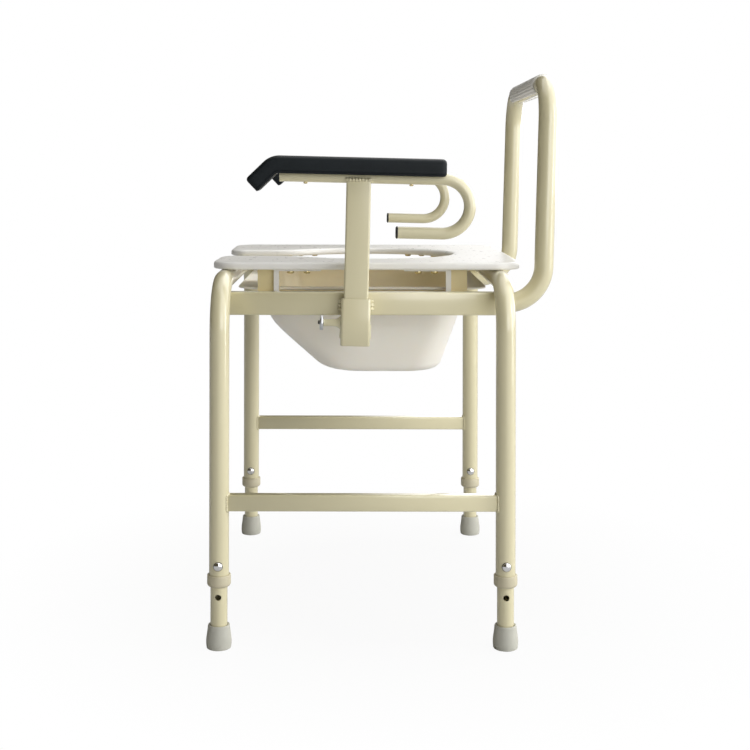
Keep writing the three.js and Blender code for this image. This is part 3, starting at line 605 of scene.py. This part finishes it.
def rubber_tip(leg, x, y):
    """Cup-shaped ferrule, widest low down, with a recessed foot."""
    profile = [
        (0, 0.6), (9.0, 0.6), (9.6, 0.0), (14.6, 0.0), (15.35, 0.4), (15.65, 1.2), (16.05, 4.0),
        (16.25, 7.5), (16.2, 10.5), (15.9, 14.0), (15.3, 18.0), (14.75, 22.0), (14.3, 26.0),
        (14.05, 28.6), (13.6, 29.7), (12.7, 30.0), (11.6, 29.6), (11.2, 28.8), (11.2, 6.0), (0, 6.0),
    ]
    obj = lathe(f"{leg}_rubber_ferrule", profile, RUBBER, Matrix.Translation((x, y, 0)), 64)
    stand_for(obj, f"{leg}_rubber_tip")


def height_pin(leg, x, y):
    """Domed locking pin: head radius, where the head starts, its height and its straight rim."""
    head, seat, tall, rim = 5.5, 13.0, 3.1, 0.7
    shank = [(0, 11.3), (3.3, 11.3), (3.5, 11.5), (3.5, seat)]
    edge = [(head - 0.2, seat), (head, seat + 0.3), (head, seat + rim)]
    dome = []
    for angle in (0.3, 0.6, 0.9, 1.2, 1.4):
        dome.append((head * math.cos(angle), seat + rim + (tall - rim) * math.sin(angle)))
    profile = [*shank, *edge, *dome, (0, seat + tall)]
    obj = lathe(f"{leg}_pin_dome", profile, CHROME, pin_place(x, y), 40)
    stand_for(obj, f"{leg}_height_pin")


def pin_place(x, y):
    """From a pin's own frame, its axis along Z, to its place in the +X side of a leg."""
    return Matrix.Translation((x, y, PIN_Z)) @ Matrix.Rotation(math.pi / 2, 4, "Y")


def painted_pin_shadow(leg, x, y):
    """Black ring let into the leg around a locking pin's head: a painted shadow for the shaded gap
    between the head and the leg.
    """
    profile = [(4.3, 11.9), (6.0, 11.9), (6.0, 12.75), (5.75, 12.95), (4.3, 12.95)]
    extra(lathe(f"{leg}_pin_shadow_ring", profile, BLACK_AND_SHADOW, pin_place(x, y), 40), "frame")


def legs():
    for end, y, _ in ENDS:
        hoop(end, y)
        for side, sign in SIDES:
            leg = f"{end}_{side}"
            x = sign * LEG_X
            leg_extension(leg, x, y)
            leg_collar(leg, x, y)
            rubber_tip(leg, x, y)
            height_pin(leg, x, y)
            # painted shadow ring round the pin's head
            painted_pin_shadow(leg, x, y)


# ------------------------ rails and their welds


def rail(name, node, low, high, sign, reach):
    """A rectangular tube along Y that runs reach past its CAD ends, into the hoops, and is
    closed there by a flat end with a soft edge."""
    centre, half = (low + high) / 2, (high - low) / 2
    soft = RAIL_SOFT
    front, rear = low.y - reach, high.y + reach
    rings = []
    for y, inset in ((front, soft), (front + soft, 0), (rear - soft, 0), (rear, soft)):
        outline = rounded_rect(half.x - inset, half.z - inset, RAIL_CORNER - inset)
        rings.append([Vector((sign * centre.x + a, y, centre.z + b)) for a, b in outline])
    stand_for(piece(name, *loft(rings), CREAM, None, 50), node)


def tube_offset(x, z):
    """Distance of a point in a hoop's plane from the hoop's centre line."""
    bend = Vector((LEG_X - HOOP_BEND_R, HOOP_TOP_Z - HOOP_BEND_R))
    if z < bend.y:
        return abs(abs(x) - LEG_X)
    spoke = Vector((abs(x), z)) - bend
    return abs(spoke.length - HOOP_BEND_R)


def rail_weld(name, low, high, sign, hoop_y, inward):
    """Bead where a rail's outline meets a hoop: only the points that touch the tube are kept.
    The run starts at the low inner corner, so that what is kept stays in one stretch."""
    centre, half = (low + high) / 2, (high - low) / 2
    outline = rounded_rect(half.x, half.z, RAIL_CORNER)
    start = len(outline) * 5 // 8
    points = []
    for a, b in outline[start:] + outline[:start]:
        x, z = centre.x + a, centre.z + b
        offset = tube_offset(x, z)
        if offset < TUBE_R * 0.97:
            y = hoop_y + inward * math.sqrt(TUBE_R ** 2 - offset ** 2)
            points.append(Vector((sign * x, y, z)))
    whole = len(points) == len(outline)
    bead(name, resample(points, 0.5 * MM, whole), WELD_R, "frame", whole)


def side_rails():
    for side, sign in SIDES:
        upper = (RAIL_LOW, RAIL_HIGH, sign)
        lower = (LOW_RAIL_LOW, LOW_RAIL_HIGH, sign)
        rail(f"{side}_upper_rail_tube", f"{side}_upper_side_rail", *upper, RAIL_REACH)
        rail(f"{side}_lower_rail_tube", f"{side}_lower_side_rail", *lower, 0)
        for end, hoop_y, outward in ENDS:
            rail_weld(f"{side}_{end}_upper_weld", *upper, hoop_y, -outward)
            rail_weld(f"{side}_{end}_lower_weld", *lower, hoop_y, -outward)


# ------------------------ arm socket and latch


def arm_socket(side, place):
    """Rectangular sleeve with soft ends, open right through."""
    top, lip = SOCKET_HALF.z, SOCKET_LIP
    play = SOCKET_PLAY
    outline = rounded_rect(SOCKET_HALF.x, SOCKET_HALF.y, SOCKET_CORNER, 8)
    soft = rounded_rect(SOCKET_HALF.x - lip, SOCKET_HALF.y - lip, 3.4 * MM, 8)
    bore = rounded_rect(UPRIGHT_HALF.x + play.x, UPRIGHT_HALF.y + play.y, 2.6 * MM, 8)
    rings = [
        level_ring(soft, -top), level_ring(outline, lip - top), level_ring(outline, top - lip),
        level_ring(soft, top), level_ring(bore, top), level_ring(bore, -top),
    ]
    obj = piece(f"{side}_socket_sleeve", *loft(rings, wrap=True), CREAM, place, 50)
    stand_for(obj, f"{side}_arm_socket")


def socket_welds(side, sign, place):
    """On both edges of the socket against the rail: a lumpy bead above, a thin seam below."""
    x = -sign * (SOCKET_HALF.x - 1.5 * MM)
    for end, _, way in ENDS:
        y = way * (SOCKET_HALF.y + 0.8 * MM)
        high = [Vector((x, y, z * MM)) for z in (27.5, 20, 12.5)]
        low = [Vector((x, y - way * 1.2 * MM, z * MM)) for z in (-4, -13, -23)]
        runs = (("weld", high, 2.9, 0.24, 5.3), ("seam", low, 1.7, 0.1, 12))
        for kind, run, radius, ripple, pitch in runs:
            name = f"{side}_socket_{kind}_{end}"
            points = resample(run, 0.4 * MM)
            bead(name, points, radius * MM, "frame", False, ripple, pitch * MM, place)


def latch(side, place):
    """Guide barrel with a flared weld, pin and knob, all on an axis along -Y."""
    axis = place @ Matrix.Translation((0, 0, LATCH_Z)) @ Matrix.Rotation(math.pi / 2, 4, "X")
    barrel = [
        (3.9, 19.5), (8.9, 19.4), (8.1, 20.4), (6.9, 21.8), (5.9, 23.4), (5.1, 25.0), (4.7, 27.0),
        (4.7, 40.8), (4.4, 41.3), (4.2, 41.4), (3.0, 41.4), (2.9, 41.1), (2.9, 39.4), (3.9, 39.4),
    ]
    stand_for(lathe(f"{side}_latch_guide", barrel, CREAM, axis, 44), f"{side}_latch_barrel")
    pin = [(0, 16.8), (2.1, 16.8), (2.5, 17.3), (2.5, 48.0), (2.2, 48.5), (1.4, 48.8), (0, 48.8)]
    stand_for(lathe(f"{side}_latch_plunger", pin, BLACK_AND_SHADOW, axis, 32), f"{side}_latch_pin")
    stand_for(latch_knob(side, axis), f"{side}_latch_knob")


def latch_knob(side, axis):
    """A finger disc with a fine knurl on its rim."""
    sides, teeth, depth = 144, 36, 0.18
    rows = ((2.8, 41.7, 0), (8.9, 41.7, 0), (9.6, 42.1, 0.6), (10.0, 42.7, 1), (10.0, 45.3, 1),
            (9.6, 45.9, 0.6), (8.9, 46.3, 0), (5.2, 46.3, 0), (4.8, 45.9, 0), (2.8, 45.9, 0))
    rings = []
    for radius, height, share in rows:
        ring = []
        for i in range(sides):
            angle = 2 * math.pi * i / sides
            r = radius - depth * share * (0.5 + 0.5 * math.cos(teeth * angle))
            ring.append(Vector((r * math.cos(angle), r * math.sin(angle), height)) * MM)
        rings.append(ring)
    return piece(f"{side}_latch_disc", *loft(rings, wrap=True), SILVER, axis, 40)


def springs():
    """The latch springs keep their CAD shape."""
    for side, _ in SIDES:
        dress(frame["nodes"][f"{side}_latch_spring"], CHROME)


# ------------------------ arms


def arm_path():
    """Centre line of the arm tube: under the pad to the rear, then hooked down and forward."""
    rear = ARM_HOOK_Y + ARM_HOOK_R
    lower = ARM_TUBE_Z - 2 * ARM_HOOK_R
    corners = [
        (0, ARM_FRONT_Y, ARM_TUBE_Z), (0, rear, ARM_TUBE_Z), (0, rear, lower),
        (0, ARM_LOWER_END_Y, lower),
    ]
    return bent_path(corners, ARM_HOOK_R - 0.02 * MM, 18)


def arm_upright(side, place):
    """Rectangular tube from the socket to the arm tube, with a bead round its top."""
    outline = rounded_rect(UPRIGHT_HALF.x, UPRIGHT_HALF.y, 2.8 * MM)
    bore = rounded_rect(UPRIGHT_HALF.x - TUBE_WALL, UPRIGHT_HALF.y - TUBE_WALL, 1.3 * MM)
    bottom = UPRIGHT_RAISE - SOCKET_HALF.z
    top = ARM_TUBE_Z - 0.4 * ARM_TUBE_R
    rings = [
        level_ring(outline, bottom), level_ring(outline, top), level_ring(bore, top),
        level_ring(bore, bottom),
    ]
    obj = piece(f"{side}_upright_tube", *loft(rings, wrap=True), CREAM, place)
    stand_for(obj, f"{side}_arm_upright")
    seam = []
    for a, b in rounded_rect(UPRIGHT_HALF.x + 0.2 * MM, UPRIGHT_HALF.y + 0.2 * MM, 2.8 * MM):
        reach = min(abs(a), 0.92 * ARM_TUBE_R)
        seam.append(Vector((a, b, ARM_TUBE_Z - math.sqrt(ARM_TUBE_R ** 2 - reach ** 2))))
    points = resample(seam, 0.5 * MM, True)
    bead(f"{side}_upright_weld", points, 2.3 * MM, f"{side}_arm", True, 0.24, 4.1 * MM, place)


def arm_tube(side, place):
    obj = tube(f"{side}_arm_bar", arm_path(), ARM_TUBE_R, ARM_TUBE_WALL, CREAM, 36, place)
    stand_for(obj, f"{side}_arm_tube")


def end_plug(side, place):
    """Black cap in the open lower end of the hook."""
    profile = [
        (0, 0), (6.2, 0), (7.3, 0.35), (7.9, 1.1), (8.05, 2.0), (7.9, 2.7), (6.4, 2.8), (6.2, 13.6),
        (5.6, 14), (0, 14),
    ]
    foot = Vector((0, ARM_LOWER_END_Y - 3 * MM, ARM_TUBE_Z - 2 * ARM_HOOK_R))
    turn = Matrix.Translation(foot) @ Matrix.Rotation(-math.pi / 2, 4, "X")
    stand_for(lathe(f"{side}_end_cap", profile, BLACK_AND_SHADOW, place @ turn, 36), f"{side}_arm_end_plug")


def pad_section():
    """Across the pad, in millimetres: crowned top, round shoulders, a lip line low on each side."""
    half, top = PAD_HALF
    foot = -top
    crown, shoulder, corner = 0.9, 5.5, 1.6
    right = [(0.0, foot), (half - corner - 6, foot), (half - corner, foot)]
    for angle in (0.5, 1.0, 1.57):
        x = half - corner * (1 - math.sin(angle))
        right.append((x, foot + corner * (1 - math.cos(angle))))
    right += [(half, foot + 2.6), (half - 0.8, foot + 3.0), (half - 0.8, foot + 3.5), (half, foot + 3.9)]
    right += [(half, 0.0), (half, top - shoulder)]
    for step in range(1, 7):
        angle = math.pi / 2 * step / 6
        rise = (shoulder - crown) * math.sin(angle)
        right.append((half - shoulder * (1 - math.cos(angle)), top - shoulder + rise))
    right += [(11.0, top - 0.35), (0.0, top)]
    left = [(-x, z) for x, z in reversed(right[1:-1])]
    return right + left


def pad_ring(points, distance, inset, tip):
    """The section at a distance along the pad. A rounded end draws it in all round, but the foot
    of the front tip only a little, which leaves a sharper lip."""
    half, top = PAD_HALF
    point, along = point_at(points, distance)
    up = Vector((0, along.z, -along.y))
    ring = []
    for x, z in pad_section():
        lift = z * (top - inset) / top
        if tip and z < 0:
            lift = z * (top - 0.25 * inset) / top
        ring.append((point + Vector((x * (half - inset) / half, 0, 0)) + up * lift) * MM)
    return ring


def arm_pad(side, place):
    """The section swept from the rear to the turned-down front, with rounded ends."""
    reach = PAD_DROOP * math.sqrt(0.5)
    corners = [
        Vector((0, PAD_REAR_Y, PAD_MIDDLE_Z)),
        Vector((0, PAD_BEND_Y, PAD_MIDDLE_Z)),
        Vector((0, PAD_BEND_Y - reach, PAD_MIDDLE_Z - reach)),
    ]
    points = resample(bent_path(corners, PAD_BEND_R, 10), 6.0)
    length = sum((b - a).length for a, b in zip(points, points[1:]))
    soft = PAD_SOFT
    ease = [math.pi / 2 * step / 5 for step in range(5)]
    rear = [(soft * (1 - math.cos(a)), soft * (1 - math.sin(a)), False) for a in ease]
    front = [(length - d, inset, True) for d, inset, _ in reversed(rear)]
    body = [(d, 0, False) for d in pad_stations(points) if soft < d < length - soft]
    rings = [pad_ring(points, *row) for row in rear + body + front]
    obj = piece(f"{side}_pad_cushion", *loft(rings), PAD, place, 42)
    stand_for(obj, f"{side}_arm_pad")


def pad_stations(points):
    """The distance from a polyline's start to each of its later points."""
    travelled = 0.0
    result = []
    for a, b in zip(points, points[1:]):
        travelled += (b - a).length
        result.append(travelled)
    return result


def point_at(points, distance):
    """The point and direction at a distance along a polyline."""
    for a, b in zip(points, points[1:]):
        run = (b - a).length
        if distance <= run:
            return a.lerp(b, distance / run), (b - a).normalized()
        distance -= run
    return points[-1], (points[-1] - points[-2]).normalized()


def screw(name, node, profile, drive, place):
    """A turned screw with a cross recess in its head, which faces -Z."""
    obj = lathe(name, profile, BRASS, place, 32)
    depth = profile[0][1] + 1.2
    half_width = 0.45
    corners = ((-drive, -half_width), (drive, -half_width), (drive, half_width), (-drive, half_width))
    for angle in (0, math.pi / 2):
        rings = [[Vector((x, y, z)) * MM for x, y in corners] for z in (depth - 2.2, depth)]
        turn = place @ Matrix.Rotation(angle, 4, "Z")
        punch(obj, piece("cutter", *loft(rings), BRASS, turn))
    stand_for(obj, node)


def pad_screws(side, place):
    profile = [
        (0, -2.4), (1.2, -2.35), (2.1, -2.0), (2.8, -1.3), (3.1, -0.4), (1.7, -0.3), (1.7, 25),
        (0, 25),
    ]
    for end, y in PAD_SCREW_Y.items():
        foot = place @ Matrix.Translation((0, y, ARM_TUBE_Z - ARM_TUBE_R))
        screw(f"{side}_pad_screw_{end}_head", f"{side}_pad_screw_{end}", profile, 1.7, foot)


def arms():
    for side, sign in SIDES:
        place = arm_place(side)
        arm_socket(side, place)
        socket_welds(side, sign, place)
        latch(side, place)
        arm_upright(side, place)
        arm_tube(side, place)
        arm_pad(side, place)
        end_plug(side, place)
        pad_screws(side, place)


# ------------------------ backrest


def backrest():
    """U tube that leans back a little and bends forward beside the rails, with its welds."""
    low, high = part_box("backrest_tube")
    x = high.x - TUBE_R
    y_top = high.y - TUBE_R
    y_low = y_top - BACK_LEAN
    z_leg = low.z + TUBE_R
    z_top = high.z - TUBE_R
    half = [(x, low.y, z_leg), (x, y_low, z_leg), (x, y_top, z_top)]
    corners = half + [(-a, b, c) for a, b, c in reversed(half)]
    obj = tube("backrest_bent_tube", bent_path(corners, BACK_BEND_R, 18), TUBE_R, TUBE_WALL, CREAM)
    stand_for(obj, "backrest_tube")
    grip(Vector((0, y_top, z_top)))
    for side, sign in SIDES:
        edge = sign * (x + TUBE_R * 0.93)
        for name, lift in (("top", 5.2), ("under", -5.2)):
            run = [Vector((edge, low.y + d * MM, z_leg + lift * MM)) for d in (4, 34)]
            bead(f"{side}_back_weld_{name}", resample(run, 0.5 * MM), 1.8 * MM, "frame")


def grip(centre):
    """Split sleeve on the top bar: lengthwise ribs outside, a slot along the underside."""
    low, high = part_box("backrest_sleeve")
    outer, inner, rib, ribs = 15.0 * MM, TUBE_R + 0.3 * MM, 0.9 * MM, 15
    slot = math.radians(35)
    start, end = slot - math.pi / 2, 1.5 * math.pi - slot
    steps = ribs * 10
    outline = []
    for i in range(steps + 1):
        share = i / steps
        angle = start + (end - start) * share
        wave = abs(math.sin(math.pi * ribs * share)) ** 0.6
        radius = outer - rib * (1 - wave)
        outline.append((radius * math.cos(angle), radius * math.sin(angle)))
    for i in range(steps + 1):
        angle = end + (start - end) * i / steps
        outline.append((inner * math.cos(angle), inner * math.sin(angle)))
    soft = 0.8 * MM
    stations = ((low.x, 0.975), (low.x + soft, 1.0), (high.x - soft, 1.0), (high.x, 0.975))
    rings = [
        [Vector((x, centre.y + a * scale, centre.z + b * scale)) for a, b in outline]
        for x, scale in stations
    ]
    stand_for(piece("backrest_grip", *loft(rings), WHITE, None, 30), "backrest_sleeve")


# ------------------------ seat


def arc(cx, cy, radius, start, end, steps):
    """Points of a circular arc between two angles in degrees."""
    angles = [math.radians(start + (end - start) * i / steps) for i in range(steps + 1)]
    return [Vector((cx + radius * math.cos(a), cy + radius * math.sin(a))) for a in angles]


def curve_between(p0, p1, p2, p3, steps):
    """A cubic Bezier without its first and last point."""
    points = []
    for i in range(1, steps):
        t = i / steps
        s = 1 - t
        points.append(p0 * s ** 3 + p1 * 3 * s * s * t + p2 * 3 * s * t * t + p3 * t ** 3)
    return points


def seat_half():
    """The +X half of the seat's plan, from the rear middle round the outside to the opening's rear.
    Each point comes with how far its top edge rolls over: more round the opening."""
    low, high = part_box("seat_plate")
    half, front, rear = high.x, low.y, high.y
    outside = [Vector((0, rear)), Vector((half * 0.4, rear))]
    outside += arc(half - SEAT_CORNER, rear - SEAT_CORNER, SEAT_CORNER, 90, 0, 14)
    outside += arc(half - SEAT_CORNER, front + SEAT_CORNER, SEAT_CORNER, 0, -90, 14)
    inside = arc(SEAT_MOUTH + SEAT_PRONG, front + SEAT_PRONG, SEAT_PRONG, -90, -180, 12)
    throat = Vector((SEAT_MOUTH, SEAT_THROAT))
    leaving = Vector((SEAT_MOUTH, SEAT_THROAT + 50 * MM))
    arriving = Vector((SEAT_HOLE, SEAT_HOLE_MID - 90 * MM))
    widest = Vector((SEAT_HOLE, SEAT_HOLE_MID))
    inside += [throat] + curve_between(throat, leaving, arriving, widest, 16)
    inside += arc(0, SEAT_HOLE_MID, SEAT_HOLE, 0, 90, 26)
    return [(p, 1.0) for p in outside] + [(p, 1.9) for p in inside]


def seat_outline():
    """The whole plan: the +X half and its mirror image."""
    half = seat_half()
    mirrored = [(Vector((-p.x, p.y)), roll) for p, roll in reversed(half[1:-1])]
    return half + mirrored


def inset_ring(outline, distance, height):
    """The outline moved inwards, each point by its own share, at a height."""
    count = len(outline)
    ring = []
    for i, (point, roll) in enumerate(outline):
        before = outline[i - 1][0]
        after = outline[(i + 1) % count][0]
        along = (after - before).normalized()
        inward = Vector((along.y, -along.x))
        moved = point + inward * distance * roll
        ring.append(Vector((moved.x, moved.y, height)))
    return ring


def seat():
    """Plate with an upright rim face, small round edges and a flat top. Each row is how far
    the outline is drawn in and its height above the underside."""
    low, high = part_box("seat_plate")
    outline = seat_outline()
    rows = (
        (3.0, 0.0), (1.4, 0.25), (0.5, 0.9), (0.05, 2.0), (0.0, 3.6), (0.05, 6.4), (0.3, 7.5),
        (0.8, 8.5), (1.6, 9.3), (2.8, 9.75), (4.6, 9.95), (7.0, 10.0), (10.0, 10.0),
    )
    rings = [inset_ring(outline, d * MM, low.z + h * MM) for d, h in rows]
    stand_for(piece("seat_shell", *loft(rings), WHITE, None, 60), "seat_plate")


def cradles():
    """Pan cradles keep their CAD shape, with the edges softened; their screws are turned anew."""
    for side, _ in SIDES:
        obj = frame["nodes"][f"{side}_pan_cradle"]
        bevel = obj.modifiers.new("soft_edges", "BEVEL")
        bevel.width = 0.7 * MM
        bevel.segments = 3
        bevel.limit_method = "ANGLE"
        bevel.angle_limit = math.radians(50)
        dress(obj, CRADLE)
        for end, _, _ in ENDS:
            for number in (1, 2):
                cradle_screw(f"{side}_cradle_screw_{end}_{number}")


def cradle_screw(node):
    low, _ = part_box(node)
    centre = middle(node)
    profile = [
        (0, 0), (2.6, 0.05), (3.9, 0.5), (4.8, 1.4), (5.0, 2.4), (4.9, 3.6), (2.0, 3.7), (2.0, 13.6),
        (0, 13.6),
    ]
    place = Matrix.Translation((centre.x, centre.y, low.z))
    screw(f"{node}_head", node, profile, 2.6, place)


def dress(obj, material):
    """Gives a CAD node a material of this script."""
    obj.data.materials.clear()
    obj.data.materials.append(material)


# ------------------------ pan


def pan_front(height):
    """Where the front wall stands at a height, both in metres; its knee is eased."""
    (z0, y0), (z1, y1), (z2, y2) = PAN_FRONT
    low = y0 + (height / MM - z0) * (y1 - y0) / (z1 - z0)
    high = y1 + (height / MM - z1) * (y2 - y1) / (z2 - z1)
    eased = (low + high) / 2 + math.sqrt(((low - high) / 2) ** 2 + PAN_KNEE_EASE ** 2)
    return LEG_MID_Y + eased * MM


def pan_ring(height, inset, corner, lift=0.0):
    """A rounded rectangle round the pan at a height above its bottom."""
    front = pan_front(height) + inset * 1.3
    rear = LEG_MID_Y + PAN_REAR_FOOT + height * PAN_REAR_SLOPE - inset
    half_x = PAN_HALF_TOP - PAN_TAPER * (1 - height / (PAN_TALL * MM)) - inset
    half_y = (rear - front) / 2
    centre_y = (rear + front) / 2
    outline = rounded_rect(half_x, half_y, min(corner, half_x, half_y), 10)
    return level_ring(outline, PAN_BOTTOM + height + lift, centre_y)


def pan_floor(inset, lift):
    """Rings of the floor, from a slightly lower middle out round the bottom edge."""
    middle_rows = ((90, -1.2), (60, -1.0), (35, -0.5))
    rings = [pan_ring(0, inset + d * MM, 34 * MM, lift + c * MM) for d, c in middle_rows]
    for step in range(7):
        angle = math.pi / 2 * step / 6
        height = PAN_EDGE * (1 - math.cos(angle))
        rings.append(pan_ring(height, inset + PAN_EDGE * (1 - math.sin(angle)), 40 * MM, lift))
    return rings


def pan():
    """Bowl in one closed skin: outside from the floor up, round the rim, then down inside."""
    low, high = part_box("pan")
    rim_z = high.z - PAN_BOTTOM
    rim_half = Vector(((high.x - low.x) / 2, (high.y - low.y) / 2))
    rim_mid = (high.y + low.y) / 2

    def rim_ring(shrink, z):
        outline = rounded_rect(rim_half.x - shrink, rim_half.y - shrink, 30 * MM, 10)
        return level_ring(outline, z, rim_mid)

    rises = (0.2, 0.35, 0.47, 0.55, 0.62, 0.72, 0.85)
    outside = pan_floor(0, 0)
    outside += [pan_ring(h * rim_z, 0, (40 + 4 * h) * MM) for h in rises]
    outside.append(pan_ring(rim_z - 3 * MM, 0, 44 * MM))
    rim = [
        rim_ring(2.2 * MM, high.z - 3 * MM), rim_ring(0.4 * MM, high.z - 2.7 * MM),
        rim_ring(0, high.z - 1.6 * MM), rim_ring(0.5 * MM, high.z - 0.3 * MM),
        rim_ring(1.6 * MM, high.z),
    ]
    inside = [pan_ring(rim_z, PAN_WALL + 2 * MM, 44 * MM), pan_ring(rim_z - 2 * MM, PAN_WALL, 44 * MM)]
    inside += [pan_ring(h * rim_z, PAN_WALL, (38 + 4 * h) * MM) for h in reversed(rises)]
    inside += list(reversed(pan_floor(PAN_WALL, PAN_WALL)))
    obj = piece("pan_bowl", *loft(outside + rim + inside), PAN, None, 50)
    stand_for(obj, "pan")


# ------------------------ studio


def studio():
    """A wide floor under the lowest tip."""
    floor_mesh = bpy.data.meshes.new("floor")
    signs = ((-1, -1), (1, -1), (1, 1), (-1, 1))
    corners = [(x * FLOOR_REACH, y * FLOOR_REACH, 0) for x, y in signs]
    floor_mesh.from_pydata(corners, [], [(0, 1, 2, 3)])
    floor = bpy.data.objects.new("floor", floor_mesh)
    bpy.context.scene.collection.objects.link(floor)
    floor.data.materials.append(floor_material())
    follow_lowest_leg(floor)


def floor_material():
    """Pale matt floor that fades to pure white away from the chair, as far as the camera sees."""
    material, shader = node_material("pale_floor", (0.58, 0.58, 0.58), 0.8)
    vary_colour(material, shader, noise(material, 2), (0.57, 0.57, 0.57), (0.59, 0.59, 0.59))
    nodes, links = material.node_tree.nodes, material.node_tree.links
    place = nodes.new("ShaderNodeTexCoord")
    length = nodes.new("ShaderNodeVectorMath")
    length.operation = "LENGTH"
    path = nodes.new("ShaderNodeLightPath")
    share = nodes.new("ShaderNodeMath")
    share.operation = "MULTIPLY"
    white = nodes.new("ShaderNodeEmission")
    mix = nodes.new("ShaderNodeMixShader")
    links.new(place.outputs["Object"], length.inputs[0])
    links.new(
        map_range(material.node_tree, length.outputs["Value"], FLOOR_FADE, (FLOOR_WHITE, 1)),
        share.inputs[0],
    )
    links.new(path.outputs["Is Camera Ray"], share.inputs[1])
    links.new(share.outputs["Value"], mix.inputs["Fac"])
    links.new(shader.outputs["BSDF"], mix.inputs[1])
    links.new(white.outputs["Emission"], mix.inputs[2])
    links.new(mix.outputs["Shader"], nodes["Material Output"].inputs["Surface"])
    return material


def follow_lowest_leg(floor):
    """The floor drops with a leg that is let out, so that the tips always stand on it."""
    driver = floor.driver_add("location", 2).driver
    names = []
    for body, empty in frame["bodies"].items():
        if body.endswith("_leg"):
            variable = driver.variables.new()
            variable.name = body
            variable.targets[0].id = empty
            variable.targets[0].data_path = "location.z"
            names.append(body)
    driver.expression = f"min(0, {', '.join(names)}) - 0.0002"


def lamp(name, place, aim, size, power):
    """A rectangular area light that looks at aim."""
    data = bpy.data.lights.new(name, "AREA")
    data.shape = "RECTANGLE"
    data.size, data.size_y = size
    data.energy = power
    obj = bpy.data.objects.new(name, data)
    obj.location = place
    obj.rotation_euler = (Vector(aim) - Vector(place)).to_track_quat("-Z", "Y").to_euler()
    bpy.context.scene.collection.objects.link(obj)


def sky():
    """Pure white to the camera. Everything else sees a room that is bright on the right of the
    picture and dark on the left, stronger still in reflections."""
    world = bpy.data.worlds.new("studio_room")
    bpy.context.scene.world = world
    world.use_nodes = True
    nodes, links = world.node_tree.nodes, world.node_tree.links
    nodes.clear()
    output = nodes.new("ShaderNodeOutputWorld")
    mix = nodes.new("ShaderNodeMixShader")
    path = nodes.new("ShaderNodeLightPath")
    seen = nodes.new("ShaderNodeBackground")
    seen.inputs["Color"].default_value = (1, 1, 1, 1)
    room = nodes.new("ShaderNodeBackground")
    place = nodes.new("ShaderNodeTexCoord")
    split = nodes.new("ShaderNodeSeparateXYZ")
    ramp = nodes.new("ShaderNodeValToRGB")
    for element, (position, colour) in zip(ramp.color_ramp.elements, ROOM_RAMP):
        element.position = position
        element.color = colour
    links.new(place.outputs["Generated"], split.inputs["Vector"])
    across = map_range(world.node_tree, split.outputs["Y"], (-1, 1), (0, 1))
    links.new(across, ramp.inputs["Fac"])
    links.new(ramp.outputs["Color"], room.inputs["Color"])
    shine = map_range(world.node_tree, path.outputs["Is Glossy Ray"], (0, 1), (ROOM_LIGHT, ROOM_SHINE))
    links.new(shine, room.inputs["Strength"])
    links.new(path.outputs["Is Camera Ray"], mix.inputs["Fac"])
    links.new(room.outputs["Background"], mix.inputs[1])
    links.new(seen.outputs["Background"], mix.inputs[2])
    links.new(mix.outputs["Shader"], output.inputs["Surface"])


def lights():
    lamp("key", (0.75, 2.6, 0.9), (0, 0, 0.4), (0.35, 2.0), 22)
    lamp("overhead", (-0.3, -0.2, 2.7), (-0.1, 0, 0.4), (2.2, 2.2), 19)
    lamp("front", (2.4, 1.1, 0.9), (0, 0, 0.4), (1.2, 1.2), 8)


def camera():
    """Eye-level view of the left side through a shifted lens, so that the legs stay parallel.
    The shift holds only while the camera stands at this place, which its x and z tell."""
    data = bpy.data.cameras.new("camera")
    data.lens = LENS
    data.sensor_width = SENSOR
    obj = bpy.data.objects.new("camera", data)
    obj.location = CAMERA
    look = Vector((-1, 0, 0)).to_track_quat("-Z", "Y").to_matrix().to_4x4()
    obj.rotation_euler = (look @ Matrix.Rotation(CAMERA_ROLL, 4, "Z")).to_euler()
    bpy.context.scene.collection.objects.link(obj)
    bpy.context.scene.camera = obj
    for name, value in CAMERA_SHIFT.items():
        driver = data.driver_add(name).driver
        for axis in ("x", "z"):
            variable = driver.variables.new()
            variable.name = axis
            variable.targets[0].id = obj
            variable.targets[0].data_path = f"location.{axis}"
        away = f"abs(x - {CAMERA.x:.5f}) + abs(z - {CAMERA.z:.5f})"
        driver.expression = f"{value} if {away} < 0.001 else 0"


# ------------------------ build

legs()
side_rails()
arms()
backrest()
seat()
cradles()
pan()
springs()
studio()
sky()
lights()
camera()
bpy.context.scene.view_settings.view_transform = "Standard"
